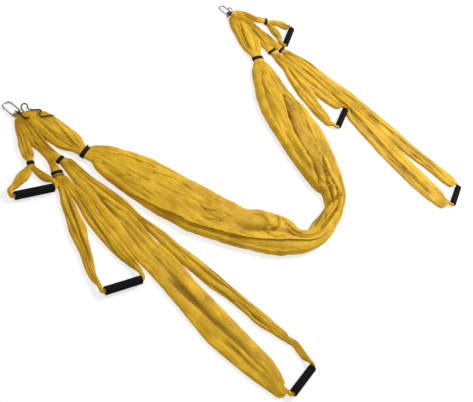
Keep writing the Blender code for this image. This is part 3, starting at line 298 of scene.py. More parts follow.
# From the near neck to the far neck: place in HAMMOCK_DEPTH and BAR_SPAN from the near bar, half width
# in HAMMOCK_HALF_WIDTH and height.
hammock_body_shares = [
    (261, 80, 380, 550), (295, 92, 570, 650), (346, 107, 740, 760), (431, 134, 900, 850),
    (528, 159, 960, 900), (629, 189, 970, 950), (724, 226, 870, 1000), (808, 264, 780, 1000),
    (872, 311, 850, 1000), (932, 348, 790, 1000), (993, 382, 480, 1000), (1027, 432, 390, 1000),
    (1033, 498, 440, 950), (1032, 552, 390, 950), (1025, 599, 370, 950), (1007, 628, 450, 1000),
    (981, 659, 580, 1000), (924, 685, 860, 1000), (840, 718, 1060, 970), (751, 755, 1180, 950),
    (656, 783, 1190, 920), (568, 807, 1040, 880), (482, 849, 790, 800), (420, 884, 600, 660),
    (385, 904, 380, 550),
]
HAMMOCK_CREASE_PIXELS = [
    ([(150, 205), (160, 211), (170, 217), (186, 224), (202, 229), (220, 234), (236, 237),
      (250, 240)], 7, 5, 3), ([(108, 155), (122, 155), (134, 159), (146, 163), (158, 168)], 7, 4, 4),
    ([(91, 152), (105, 157), (120, 165), (138, 175), (156, 183)], 3.5, 4, 0),
    ([(90, 156), (104, 166), (118, 178), (134, 190), (152, 200)], 3, 5, 0),
    ([(88, 158), (98, 170), (112, 184), (128, 196)], 3, 4, 0),
    ([(146, 170), (160, 174), (175, 179), (188, 187), (196, 194)], 4, 5, 2),
    ([(150, 180), (170, 190), (190, 198), (214, 207)], 3, 6, 0),
    ([(198, 203), (207, 210), (216, 211), (225, 205)], 4, 4, 2),
    ([(196, 212), (206, 218), (218, 220), (230, 215)], 3.5, 4, 1),
    ([(222, 211), (231, 217), (242, 214)], 3, 4, 1),
    ([(261, 212), (268, 221), (266, 229), (271, 236)], 4, 4, 1.5),
    ([(274, 211), (280, 218), (279, 226), (272, 231)], 5, 4, 2),
    ([(268, 226), (275, 224), (281, 216)], 3, 3.5, 0), ([(270, 234), (277, 238), (284, 234)], 4, 4, 1),
    ([(281, 215), (286, 223), (294, 230), (304, 234)], 6, 5, 2),
    ([(284, 222), (289, 230), (298, 236)], 4, 4, 0),
    ([(346, 193), (337, 198), (330, 203), (325, 209), (321, 217), (313, 229)], 10, 5, 5),
    ([(343, 204), (335, 212), (328, 221), (320, 231)], 5, 5, 1.5),
    ([(330, 180), (331, 189), (334, 198)], 9, 5, 2), ([(326, 212), (325, 220)], 8, 4, 0),
    ([(317, 188), (323, 195), (326, 204)], 6, 4, -2),
    ([(283, 90), (286, 104), (290, 119), (295, 132), (301, 144), (306, 153)], 17, 7.5, -6),
    ([(300, 144), (307, 154), (312, 163), (316, 173), (318, 185)], 17, 7, -6),
    ([(286, 94), (290, 102), (295, 112)], 10, 9, 0),
    ([(266, 67), (272, 78), (281, 91), (288, 108), (292, 123)], 4, 4, -2),
    ([(261, 66), (262, 80), (267, 98), (275, 118), (284, 136)], 3.5, 5, 0),
    ([(274, 72), (285, 85), (296, 100), (305, 116), (312, 131), (318, 147)], 8, 4, 3),
    ([(299, 120), (307, 136), (316, 146), (322, 160)], 4, 5, 0),
    ([(320, 150), (325, 162), (328, 174), (328, 188)], 8, 5, 4),
    ([(239, 15), (242, 28), (245, 38), (252, 51)], 5, 5, 2),
    ([(249, 19), (253, 29), (256, 37), (259, 47)], 5, 4, 2), ([(237, 20), (240, 34), (248, 50)], 3, 5, 0),
    ([(50, 118), (57, 124), (66, 134), (80, 150)], 6, 5, 2), ([(46, 126), (58, 138), (76, 150)], 4, 5, 0),
    ([(38, 119), (48, 130), (60, 141)], 4, 5, 0), ([(58, 117), (68, 128), (79, 143)], 3, 4, 0),
]
# Free edge of the hammock's cloth: metres along from the near carabiner, side of the cloth where it lies.
HAMMOCK_HEM = [
    (0.25, -0.97), (0.43, -0.97), (0.5, -0.9), (0.567, -0.83), (0.664, -0.78), (0.718, -0.74),
    (0.782, -0.7), (0.837, -0.64), (0.896, -0.57), (0.995, -0.41), (1.097, -0.12), (1.178, -0.3),
    (1.25, -0.6), (1.33, -0.4), (1.4, -0.1), (1.47, 0.3), (1.536, 0.5), (1.638, 0.11), (1.721, -0.03),
    (1.837, -0.23), (1.91, -0.5), (1.98, -0.5), (2.06, -0.43), (2.13, -0.3),
]

# Cord routes on the floor plan, in metres from the plan's zero, off each end of the turns on the bar
NEAR_CORD_LOOP = [
    (-0.7123, -0.3624, 0.0077), (-0.7133, -0.357, 0.0053), (-0.718, -0.3535, 0.003),
    (-0.7255, -0.3516, 0.0024), (-0.7335, -0.3472, 0.0024), (-0.739, -0.338, 0.0024),
    (-0.738, -0.3285, 0.0024), (-0.7305, -0.3247, 0.0024), (-0.723, -0.329, 0.0034),
    (-0.718, -0.3365, 0.0085), (-0.7135, -0.3415, 0.015), (-0.707, -0.343, 0.019), (-0.699, -0.337, 0.02),
    (-0.69, -0.322, 0.0195), (-0.6825, -0.315, 0.021), (-0.6745, -0.326, 0.0235), (-0.668, -0.3345, 0.0245),
    (-0.6585, -0.333, 0.025), (-0.652, -0.318, 0.0245), (-0.6455, -0.302, 0.0228), (-0.6425, -0.293, 0.019),
]
NEAR_CORD_TAIL = [
    (-0.715, -0.3806, 0.0174), (-0.709, -0.379, 0.0174), (-0.7015, -0.378, 0.016),
    (-0.6925, -0.378, 0.0155), (-0.6855, -0.374, 0.0175), (-0.681, -0.364, 0.0212),
]
FAR_CORD_LOOP = [(-0.5939, 0.744, 0.0076), (-0.5941, 0.738, 0.0058), (-0.595, 0.731, 0.0045)]
FAR_CORD_TAIL = [
    (-0.5964, 0.763, 0.0187), (-0.5958, 0.767, 0.0204), (-0.599, 0.7725, 0.0224), (-0.6065, 0.7755, 0.024),
    (-0.614, 0.775, 0.0245), (-0.6195, 0.7705, 0.024), (-0.619, 0.764, 0.023), (-0.613, 0.76, 0.0215),
]


NO_REACH = [(0, 0, 0)]
STRIP_SIZES = ("half", "height", "base", "round")
# Creases of the far half, which the picture shows smaller, are drawn this much deeper, wider and lipped.
FAR_HALF_LEFT_PIXEL = 225
FAR_HALF_BOTTOM_PIXEL = 215
FAR_CREASE_GROWTH = (1.35, 1.6, 1.4)
# Where the hammock opens out past the near band: place on the plan and half width.
NECK_FLARE = (-0.454, -0.2905, 0.0385)

# Folds: size of the cloth that they are made for, distance over which they change, pleats across,
# then depths in metres, how much each inner layer shrinks, and the height of the free edge.
SLING_STYLE = {
    "half": 0.030, "height": 0.018, "long": 0.34, "pleats": 2.8, "deep": 0.0072, "crease": 0.0026,
    "rumple": 0.0014, "crush": 0.0008, "gap": 0.12, "lip": 0.0,
}
HAMMOCK_STYLE = {
    "half": 0.080, "height": 0.044, "long": 0.50, "pleats": 3.4, "deep": 0.0100, "crease": 0.0045,
    "rumple": 0.0026, "crush": 0.0012, "gap": 0.09, "lip": 0.0022,
}
PLAIN_HEM = [(0.0, 0.3)]
HEM_LIMIT = 0.97
NOISE_CELLS = 64
pleat_rise_share = 0.78
crease_end_share = 0.15
# Metres over which gathers fade, and sizes across and along the cloth of what the folds are drawn from.
GATHER_REACH = 0.075
FLOW_WIDTH = 0.016
CREASE_PATCH = (0.06, 0.11)
RUMPLE_SIZE = (0.034, 0.060)
CRUSH_PATCH = (0.05, 0.09)
CRUSH_SIZE = (0.012, 0.020)
CRUSH_SLANT = (0.026, 0.030)
# The cloth's sides sway by these shares of the half width over these metres.
sway_shares = ((0.028, 0.06), (0.020, 0.022))
# Turns that are drawn finely, columns of a turn further in, turns over which a layer dips and its
# free edge's lip fades, and the least height over the floor.
FINE_TURNS = 1.10
INNER_COLUMNS = 44
LAP_TURNS = 0.13
LIP_TURNS = 0.03
FLOOR_GAP = 0.0002
# Steps along a head, a loop and the hammock, and columns round them; the hammock's turns.
HEAD_STEP, LOOP_STEP, HAMMOCK_STEP = 0.004, 0.0055, 0.005
HEAD_COLUMNS, LOOP_COLUMNS, HAMMOCK_COLUMNS = 96, 88, 200
HAMMOCK_TURNS = 4.6
# Seeds of the hammock and of the first sling, and steps to the next sling and from head to loop.
HAMMOCK_SEED, FIRST_SEED, SLING_SEEDS, LOOP_SEED = 11, 100, 40, 9
# Of the cloth's height: the most that a fold takes, and the middle that inner layers shrink towards.
deepest_share = 0.72
layer_middle_share = 0.42
# Ridges of gathered cloth round a neck and round an eye, and how deep they are.
NECK_RIDGES, EYE_RIDGES = 13, 5
neck_ridge_share, eye_ridge_share = 0.06, 0.10

# Bands: degree where the webbing starts round the neck, its turns, those after which it laps itself,
# its points, and how far it drifts along the neck
BAND_START = 205
BAND_TURNS = 1.16
BAND_LAP = 0.93
BAND_POINTS = 150
BAND_DRIFT = 0.0007
# Cords: steps between points, the step from the second turn over the hammock's eye as (degrees, lift
# over the eye, share of the way along the bar), points round, strand pitch, rounding of a cut end, and
# how far strands stand out
CORD_STEP = CORD_DIAMETER * 0.35
cord_step_shares = [
    (-115, 0.12, 0.0), (-135, 0.52, 0.0), (-150, 1.0, 0.0), (-180, 1.0, 0.5), (-212, 1.0, 1.0),
    (-240, 0.6, 1.0), (-264, 0.25, 1.0),
]
CORD_SIDES = 17
STRAND_PITCH = 0.0011
CORD_END = 0.0016
strand_share = 0.045
# Foam sleeves: points round and along, rounding of the ends, how far the bore is drawn, length and
# share of the dents
SLEEVE_SIDES = 57
SLEEVE_RINGS = 46
SLEEVE_EDGE = 0.0026
SLEEVE_BORE = 0.004
DENT_LENGTH = 0.018
dent_share = 0.010

# Colours as (place on the ramp, colour)
GOLD_BROAD = [(0.37, (0.560, 0.312, 0.007)), (0.63, (0.800, 0.474, 0.017))]
GOLD_LIGHT = (0.88, 0.550, 0.040)
# Painted shade: dark olive that the cloth's colour is darkened towards in its folds and over its eyes.
GOLD_PAINTED_SHADE = (0.235, 0.128, 0.003)
GOLD_SHEEN = (1.0, 0.78, 0.30, 1.0)
WEBBING_BLACK = [(0.3, (0.0055, 0.0050, 0.0050)), (0.75, (0.017, 0.015, 0.013))]
CORD_BLACK = [(0.2, (0.0025, 0.0025, 0.0025)), (0.9, (0.0070, 0.0065, 0.0065))]
FOAM_BLACK = [(0.3, (0.0045, 0.0045, 0.0050)), (0.75, (0.0090, 0.0090, 0.0098))]
TUBE_BLACK = [(0.3, (0.022, 0.022, 0.024)), (0.7, (0.036, 0.036, 0.038))]
STEEL_GREY = [(0.3, (0.20, 0.203, 0.206)), (0.7, (0.32, 0.324, 0.328))]
# How much lengths are stretched for the waves of threads and braids
THREADS = 900.0
BRAIDS = 500.0
# Stage: the floor's grey as it lights the object and as it is seen, its glow, and the world's light
FLOOR_SIZE = 14.0
FLOOR_DROP = 0.0006
FLOOR_GREY = 0.8
SEEN_GREY = 0.42
SEEN_GLOW = 0.66
WORLD_LIGHT = 0.40

bar_radius = WIRE_DIAMETER / 2
eye_inner = bar_radius + CLEARANCE
eye_outer = eye_inner + EYE_THICKNESS
cord_radius = CORD_DIAMETER / 2
turn_radius = (eye_inner + cord_radius) / math.cos(math.pi / CORD_STEPS)
bar_height = turn_radius + cord_radius + CLEARANCE / 4
grip_height = FOAM_DIAMETER / 2
tube_outer = grip_height - FOAM_WALL
core_radius = tube_outer - TUBE_WALL - CORE_GAP
core_half = core_radius * math.cos(math.pi / SLING_SIDES)
neck_base = BAND_THICKNESS + CLEARANCE
web_thickness = BAND_THICKNESS * 0.62


# Places

def bar_middle(side):
    """Middle of a carabiner's bar."""
    x, y = NEAR_BAR
    if side == FAR:
        x, y = x + BAR_OFFSET, y + BAR_SPAN
    return Vector((x - PLAN_CENTRE[0], y - PLAN_CENTRE[1], bar_height))


def stack_places():
    """Places along the bar of the cord's turns and the cloths' eyes, outwards from the hammock."""
    order = ["cord_a", "cord_b", "hammock", "cord_c", "first", "second", "third"]
    widths = [CORD_DIAMETER if name.startswith("cord") else EYE_WIDTH for name in order]
    gaps = [CORD_GAP] + [STACK_GAP] * (len(order) - 2)
    places = {}
    start = -(sum(widths) + sum(gaps)) / 2
    for name, width, gap in zip(order, widths, gaps + [0.0]):
        places[name] = start + width / 2
        start += width + gap
    return places


stack = stack_places()


def floor_place(side, along, out_share):
    bar = bar_middle(side)
    return Vector((bar.x + along, bar.y + side * out_share * LAYOUT_WIDTH))


def heading_way(degrees):
    return Vector((math.cos(math.radians(degrees)), math.sin(math.radians(degrees))))


def reached(out, half, station, reach):
    """Out and half width, as shares, of cloth that also reaches in and out by the rows of reach."""
    stations, inwards, outwards = (np.array(reach) / MM).T
    more_in, more_out = (np.interp(station, stations, more) / LAYOUT_WIDTH for more in (inwards, outwards))
    return out + (more_out - more_in) / 2, half + (more_in + more_out) / 2


def head_rows(part, tall, neck_height, band_width):
    """Rows of (place, half width, height, base, roundness) from the eye to the end of the neck."""
    side, head = part["side"], part["head"]
    bar = bar_middle(side)
    y = bar.y + side * stack[part["slot"]]
    throat = ((EYE_WIDTH - CLEARANCE) / 2, THROAT_HEIGHT, bar_height - THROAT_HEIGHT / 2, 1.0)
    starts = (eye_inner + EYE_THICKNESS / 2, eye_outer + CLEARANCE)
    rows = [(Vector((bar.x + start, y)), *throat) for start in starts]
    low, roundness = bar_height / 4, 0.6
    for along, out, half, height in np.array(part["head_shares"]) / MM:
        out, half = reached(out, half, along * head, part["head_reach"])
        place = floor_place(side, along * head, out)
        rows.append((place, half * LAYOUT_WIDTH, height * tall, low, roundness))
        low, roundness = 0.0, 0.0
    neck = floor_place(side, head, part["neck_share"])
    step = heading_way(part["heading"]) * (band_width / 2 + NECK_MARGIN)
    for place in (neck - step, neck + step):
        rows.append((place, part["neck_width"] / 2, neck_height, neck_base, 1.0))
    return rows, neck


def grip_turn_rows(end, axis, leg_side):
    """Rows from beside a grip's end into its tube."""
    across = Vector((-axis.y, axis.x)) * leg_side
    places = [
        (end + axis * (beyond * core_half) + across * (beside * core_half), wider)
        for beyond, beside, wider in turn_shares
    ]
    insides = (-CLEARANCE * 2, GRIP_LENGTH * 0.08, GRIP_LENGTH * 0.2)
    places += [(end - axis * inside, 1.0) for inside in insides]
    core = (core_half * 2, grip_height - core_half, 1.0)
    return [(place, core_half * wider, *core) for place, wider in places]


def loop_rows(sling, neck, band_width):
    """Rows from the neck down the inner leg, through the grip and back up the outer leg."""
    side, head, drop = sling["side"], sling["head"], sling["drop"]
    centre = floor_place(side, head + drop, sling["grip_share"])
    axis = heading_way(sling["grip_heading"])
    start = neck + heading_way(sling["heading"]) * (band_width / 2 + NECK_MARGIN - CLEARANCE)
    legs = []
    for name, sign in (("inner", 1), ("outer", -1)):
        leg = [(start, sling["neck_width"] / 2 * 0.8, SLING_NECK_HEIGHT * 0.8, neck_base * 1.5, 1.0)]
        for along, out, half, height in np.array(sling[name + "_shares"]) / MM:
            out, half = reached(out, half, along, sling.get(name + "_reach", NO_REACH))
            place = floor_place(side, head + along * drop, out)
            leg.append((place, half * LAYOUT_WIDTH * leg_spread_share, height * SLING_HEIGHT, 0.0, 0.0))
        outward = axis * (-side * sign)
        end = centre + outward * (GRIP_LENGTH / 2)
        across = Vector((-outward.y, outward.x))
        leg_side = 1 if (leg[-1][0] - end).dot(across) > 0 else -1
        legs.append(leg + grip_turn_rows(end, outward, leg_side))
    return legs[0] + legs[1][::-1], centre, axis


# Camera

def view_axes():
    """Directions in the room of the picture's right, up and depth."""
    lift, roll = math.radians(CAMERA_ELEVATION), math.radians(CAMERA_ROLL)
    ahead = np.array((0, math.cos(lift), -math.sin(lift)))
    right, above = np.array((1, 0, 0)), np.array((0, math.sin(lift), math.cos(lift)))
    image_x = right * math.cos(roll) + above * math.sin(roll)
    image_y = above * math.cos(roll) - right * math.sin(roll)
    return image_x, image_y, ahead


def picture_camera():
    image_x, image_y, ahead = view_axes()
    camera = bpy.data.objects.new("camera", bpy.data.cameras.new("camera"))
    bpy.context.scene.collection.objects.link(camera)
    turn = Matrix((image_x, image_y, -ahead)).transposed().to_4x4()
    camera.matrix_world = Matrix.Translation(CAMERA_PLACE) @ turn
    camera.data.sensor_width = SENSOR_WIDTH
    camera.data.lens = CAMERA_LENS
    camera.data.clip_start = 0.05
    camera.data.clip_end = 50.0
    bpy.context.scene.camera = camera
    bpy.context.scene.view_settings.view_transform = "Standard"


def pixel_on_floor(pixel):
    """Floor place that a pixel of the picture shows, to a millimetre on the plan."""
    image_x, image_y, ahead = view_axes()
    pixels = CAMERA_LENS / SENSOR_WIDTH * PICTURE_WIDTH
    way = ahead + image_x * ((pixel[0] - PICTURE_WIDTH / 2) / pixels)
    way = way - image_y * ((pixel[1] - PICTURE_HEIGHT / 2) / pixels)
    place = CAMERA_PLACE - way * (CAMERA_PLACE[2] / way[2])
    return np.round(place[:2] + PLAN_CENTRE, 3) - PLAN_CENTRE


def seen_on_floor(x, y, z):
    """Floor place that a point seems to lie on from the camera."""
    eye_x, eye_y, eye_z = CAMERA_PLACE
    grow = eye_z / (eye_z - z)
    return eye_x + (x - eye_x) * grow, eye_y + (y - eye_y) * grow


picture_camera()


# Fields

def ease(x):
    x = np.clip(x, 0.0, 1.0)
    return x * x * (3 - 2 * x)


def noise(x, y, seed):
    """Smooth gradient noise from about -1 to 1."""
    angle = np.random.default_rng(seed).uniform(0, 2 * math.pi, (NOISE_CELLS, NOISE_CELLS))
    slope_x, slope_y = np.cos(angle), np.sin(angle)
    x, y = np.broadcast_arrays(np.asarray(x, float), np.asarray(y, float))
    cell_x, cell_y = np.floor(x).astype(int), np.floor(y).astype(int)
    part_x, part_y = x - cell_x, y - cell_y

    def corner(i, j):
        a, b = (cell_x + i) % NOISE_CELLS, (cell_y + j) % NOISE_CELLS
        return slope_x[a, b] * (part_x - i) + slope_y[a, b] * (part_y - j)

    fade_x, fade_y = (part ** 3 * (part * (part * 6 - 15) + 10) for part in (part_x, part_y))
    low = corner(0, 0) + (corner(1, 0) - corner(0, 0)) * fade_x
    high = corner(0, 1) + (corner(1, 1) - corner(0, 1)) * fade_x
    return (low + (high - low) * fade_y) * 1.4


def pleat(phase):
    """Profile of one folded-over pleat: slow rise and steep fall, 0 in the valley and 1 on the ridge."""
    part = phase - np.floor(phase)
    rise = 0.5 - 0.5 * np.cos(math.pi * part / pleat_rise_share)
    fall = 0.5 + 0.5 * np.cos(math.pi * (part - pleat_rise_share) / (1 - pleat_rise_share))
    return np.where(part < pleat_rise_share, rise, fall)


def beside_line(x, y, line):
    """Distance from a broken line, the same with a sign that is plus on its left, and share along it."""
    best, signed, along = np.full(x.shape, np.inf), np.zeros_like(x), np.zeros_like(x)
    done = 0.0
    for (ax, ay), (bx, by) in zip(line[:-1], line[1:]):
        length = math.hypot(bx - ax, by - ay)
        way_x, way_y = (bx - ax) / length, (by - ay) / length
        step = np.clip((x - ax) * way_x + (y - ay) * way_y, 0, length)
        dx, dy = x - ax - way_x * step, y - ay - way_y * step
        far = np.hypot(dx, dy)
        closer = far < best
        best = np.where(closer, far, best)
        signed = np.where(closer, dy * way_x - dx * way_y, signed)
        along = np.where(closer, done + step, along)
        done += length
    return best, signed, along / done


def crease_field(x, y, creases):
    """Height change of the traced creases at places seen on the floor."""
    total = np.zeros_like(x)
    for pixels, *sizes in creases:
        far_half = pixels[0][0] > FAR_HALF_LEFT_PIXEL and pixels[0][1] < FAR_HALF_BOTTOM_PIXEL
        growth = FAR_CREASE_GROWTH if far_half else (1, 1, 1)
        depth, width, lip = (round(size * more / MM, 4) for size, more in zip(sizes, growth))
        line = np.array([pixel_on_floor(pixel) for pixel in pixels])
        faded = 9 * width
        low, high = line.min(axis=0) - faded, line.max(axis=0) + faded
        near = (x > low[0]) & (x < high[0]) & (y > low[1]) & (y < high[1])
        far, signed, share = beside_line(x[near], y[near], line)
        groove, rim = np.exp(-(far / width) ** 2), 0.0
        if lip:
            beside = signed * np.sign(lip)
            slope = 0.55 * groove + 0.45 * np.exp(-far / (2.6 * width))
            groove = np.where(beside > 0, np.exp(-(far / (0.6 * width)) ** 2), slope)
            rim = abs(lip) * ease(beside / (0.5 * width)) * np.exp(-np.clip(beside, 0, None) / (3.5 * width))
        ends = ease(share / crease_end_share) * ease((1 - share) / crease_end_share)
        total[near] += ends * (rim - depth * groove)
    return total


# Cloth

def lengths_along(points):
    """Distance of each point from the first, along the way."""
    return np.concatenate([[0.0], np.cumsum(np.linalg.norm(np.diff(points, axis=0), axis=1))])


def row_slopes(values, chord, limited):
    """Slope at each row: limited ones never overshoot between rows."""
    d = np.diff(values, axis=0) / chord
    m = np.vstack([d[:1], d[:-1] * 0, d[-1:]])
    if limited:
        same_way = d[:-1] * d[1:] > 0
        m[1:-1] = np.where(same_way, 2 * d[:-1] * d[1:] / np.where(same_way, d[:-1] + d[1:], 1), 0)
    else:
        m[1:-1] = (d[:-1] * chord[1:] + d[1:] * chord[:-1]) / (chord[1:] + chord[:-1])
    return m


def resample(rows, step, least=3):
    """Smooth curve through the rows, sampled about a step apart."""
    place = np.array([tuple(row[0]) for row in rows])
    sizes = np.array([row[1:] for row in rows], float)
    chord = np.hypot(*np.diff(place, axis=0).T)[:, None]
    slope_place, slope_sizes = row_slopes(place, chord, False), row_slopes(sizes, chord, True)
    out_place, out_sizes, tangent = [], [], []
    for i, length in enumerate(chord[:, 0]):
        count = max(least, math.ceil(length / step))
        t = (np.arange(count) / count)[:, None]
        if i == len(chord) - 1:
            t = np.vstack([t, [[1.0]]])
        near, far = (1 + 2 * t) * (1 - t) ** 2, t ** 2 * (3 - 2 * t)
        curve = (near, t * (1 - t) ** 2, far, t ** 2 * (t - 1))
        steep = (6 * t * (t - 1), (1 - t) * (1 - 3 * t), 6 * t * (1 - t), t * (3 * t - 2))

        def mix(k, values, slope):
            ends = k[0] * values[i] + k[2] * values[i + 1]
            return ends + length * (k[1] * slope[i] + k[3] * slope[i + 1])

        out_place.append(mix(curve, place, slope_place))
        out_sizes.append(mix(curve, sizes, slope_sizes))
        tangent.append(mix(steep, place, slope_place))
    place, sizes, tangent = np.vstack(out_place), np.vstack(out_sizes), np.vstack(tangent)
    tangent /= np.linalg.norm(tangent, axis=1)[:, None]
    along = lengths_along(place)
    pinched = along[sizes[:, 3] > 0.5]
    apart = np.abs(along[:, None] - pinched[None, :]).min(axis=1)
    strip = dict(zip(STRIP_SIZES, sizes.T))
    strip.update(place=place, left=np.stack([-tangent[:, 1], tangent[:, 0]], 1), along=along)
    strip["gather"] = np.exp(-apart / GATHER_REACH)
    return strip


def fold_field(strip, across, seed, style):
    """Height change of the folds over the top, in metres, before it fades at the sides."""
    s, half, height, gather = (strip[name][:, None] for name in ("along", "half", "height", "gather"))
    wide, way = half / style["half"], across * half
    narrow = np.minimum(wide, 1.0)
    depth = style["deep"] * height / style["height"]
    long, count = style["long"], style["pleats"]
    x = across + 0.16 * noise(across * 1.1, s / (long * 0.7), seed + 1) * (1 - gather)
    broad = pleat(x * count / 2 + 0.8 * noise(x * 0.8, s / long, seed + 3))
    strong = ease(0.42 + 1.3 * noise(across * 1.3 + 7.3, s / (long * 0.55), seed + 2))
    field = -depth * (0.10 + 0.75 * strong) * (1 - gather) * (1 - broad) ** 1.8
    radial = np.abs(noise(x * count * 1.5 + 2.0, s / (long * 0.8), seed + 4))
    field -= depth * 0.75 * gather * (1 - np.clip(radial * 2.4, 0, 1)) ** 1.4
    flow = way / FLOW_WIDTH + 0.5 * s / long
    line = np.abs(noise(flow * 0.55 + 5.0, s / (long * 0.30) + across * 1.6, seed + 5))
    mask = ease(0.15 + 1.7 * noise(way / CREASE_PATCH[0] + 3.0, s / CREASE_PATCH[1], seed + 6))
    field -= style["crease"] * mask * (1 - np.clip(line * 5.0, 0, 1)) ** 1.5 * narrow
    field += style["rumple"] * noise(way / RUMPLE_SIZE[0], s / RUMPLE_SIZE[1], seed + 7) * wide
    patch = ease(0.1 + 1.6 * noise(way / CRUSH_PATCH[0] + 9.0, s / CRUSH_PATCH[1], seed + 8))
    crush_x, crush_y = way / CRUSH_SIZE[0] + s / CRUSH_SLANT[1], s / CRUSH_SIZE[1] - way / CRUSH_SLANT[0]
    crush = noise(crush_x, crush_y, seed + 9)
    return field + style["crush"] * patch * crush * narrow


def cloth_grid(strip, seed, style, hem, spin, creases, turns, columns):
    """One sheet rolled on itself: its free edge lies on top, and it ends inside the roll."""
    s = strip["along"][:, None]
    half, height, base, roundness = (strip[name][:, None] for name in STRIP_SIZES)
    inner = np.arange(FINE_TURNS, turns + 1e-6, 1 / INNER_COLUMNS)
    tau = np.concatenate([np.arange(0, FINE_TURNS, 1 / columns), inner])
    edge = np.interp(s, *np.array(hem, float).T)
    theta = np.arccos(np.clip(edge, -HEM_LIMIT, HEM_LIMIT)) + spin * 2 * math.pi * tau
    across, rise = np.cos(theta), np.sin(theta)
    flank = flank_share * np.clip(1 + rise / flat_start_share, 0, None)
    top = flank_share + (1 - flank_share) * np.clip(rise, 0, 1) ** top_power_share
    flat = np.where(rise < 0, flank, top)
    up = height * (flat + (0.5 + 0.5 * rise - flat) * roundness)
    sway = 0.0
    for i, (share, metres) in enumerate(sway_shares):
        sway = sway + share * noise(s / metres, np.sign(across) * (3.7 + 1.6 * i), seed + 20 + i)
    gathers = 1 - neck_ridge_share * roundness * (0.5 - 0.5 * np.cos(theta * NECK_RIDGES))
    side = across * half * (1 + sway * (1 - roundness)) * gathers

    def plan(reach):
        return [strip["place"][:, i, None] + strip["left"][:, i, None] * reach for i in (0, 1)]

    over = np.clip(rise, 0, 1) ** 0.6 * (1 - roundness)
    field = fold_field(strip, across, seed, style) * over
    field += crease_field(*seen_on_floor(*plan(side), base + up), creases) * over
    edge_rise = np.exp(-tau / LIP_TURNS) - 1.4 * np.exp(-((tau - 0.985) / LIP_TURNS) ** 2)
    field = np.maximum(field + style["lip"] * edge_rise * over, -deepest_share * up)
    layer = np.floor(tau + 1e-9) + ease((tau % 1.0 - (1 - LAP_TURNS)) / LAP_TURNS)
    scale = 1 - style["gap"] * layer
    middle = height * layer_middle_share
    up = middle + (up + field - middle) * scale
    grid = np.stack([*plan(side * scale), base + np.maximum(up, FLOOR_GAP)], -1)
    round_way = np.cumsum(np.linalg.norm(np.diff(grid, axis=1, prepend=grid[:, :1]), axis=2), 1)
    uv = np.stack(np.broadcast_arrays(round_way, s), -1)
    # The third grid is painted shade for the colour, stronger where the folds sink deepest.
    return grid, uv, np.clip(-field / (style["deep"] * 1.1), 0, 1) ** 1.3


def eye_grid(side, slot):
    """Gathered cloth round the carabiner's bar."""
    centre = bar_middle(side)
    phi = np.linspace(0, 2 * math.pi, 49)[:, None]
    psi = np.linspace(0, 2 * math.pi, 19)[None, :]
    radial = EYE_THICKNESS / 2 * (1 - eye_ridge_share * (0.5 - 0.5 * np.cos(psi * EYE_RIDGES)))
    out = eye_inner + EYE_THICKNESS / 2 + radial * np.cos(psi)
    y = centre.y + side * stack[slot] + EYE_WIDTH / 2 * 0.96 * np.sin(psi)
    grid = np.stack(np.broadcast_arrays(centre.x + out * np.cos(phi), y, centre.z + out * np.sin(phi)), -1)
    uv = np.stack(np.broadcast_arrays(psi * 0.002, phi * 0.006), -1)
    # Even painted shade over the whole eye.
    return grid, uv, np.full(grid.shape[:2], 0.3)


# Meshes

def mesh_from_grids(name, grids):
    """One mesh object from grids of points, with lengths on the cloth as UV and the painted shade of each
    point, which darkens the cloth's colour.
    """
    faces, count = [], 0
    for grid, _, _ in grids:
        rows, cols = grid.shape[:2]
        index = np.arange(rows * cols).reshape(rows, cols) + count
        corners = [index[:-1, :-1], index[:-1, 1:], index[1:, 1:], index[1:, :-1]]
        faces.append(np.stack(corners, -1).reshape(-1, 4))
        count += rows * cols
    verts = np.vstack([grid.reshape(-1, 3) for grid, _, _ in grids])
    uvs = np.vstack([uv.reshape(-1, 2) for _, uv, _ in grids])
    painted_shade = np.concatenate([deep.ravel() for _, _, deep in grids])
    faces = np.vstack(faces)
    mesh = bpy.data.meshes.new(name)
    mesh.from_pydata(verts.tolist(), [], faces.tolist())
    layer = mesh.uv_layers.new(name="cloth")
    layer.data.foreach_set("uv", uvs[faces.ravel()].astype(np.float32).ravel())
    # Painted shade, stored as an attribute that the cloth's colour reads.
    mesh.attributes.new("painted_shade", "FLOAT", "POINT").data.foreach_set("value", painted_shade.astype(np.float32))
    mesh.shade_smooth()
    mesh.update()
    made = bpy.data.objects.new(name, mesh)
    bpy.context.scene.collection.objects.link(made)
    return made


def add_piece(name, grids, look, node, body=None):
    """A new piece that stands for a CAD node, and rides on a body when one is given."""
    made = mesh_from_grids(name, grids)
    made.data.materials.append(look)
    if body:
        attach(made, body)
    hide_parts(node)
    return made


def sweep(points, frames, profile):
    """Grid of a closed profile of (side, up) points carried along points with (side, up) vectors."""
    points, profile = np.array(points, float), np.array([*profile, profile[0]], float)
    grid = points[:, None, :] + np.einsum("pk,nkd->npd", profile, frames)
    uv = np.stack(np.broadcast_arrays(lengths_along(profile)[None, :], lengths_along(points)[:, None]), -1)
    return grid, uv, np.zeros(grid.shape[:2])


def tube(points, frames, radius, sides):
    """Grid of a round tube whose radius has a row for each point and a column for each of the angles."""
    spokes = np.stack([radius * np.cos(sides), radius * np.sin(sides)], -1)
    grid = np.array(points)[:, None, :] + np.einsum("npk,nkd->npd", spokes, frames)
    return grid, np.zeros(grid.shape[:2])


# Materials

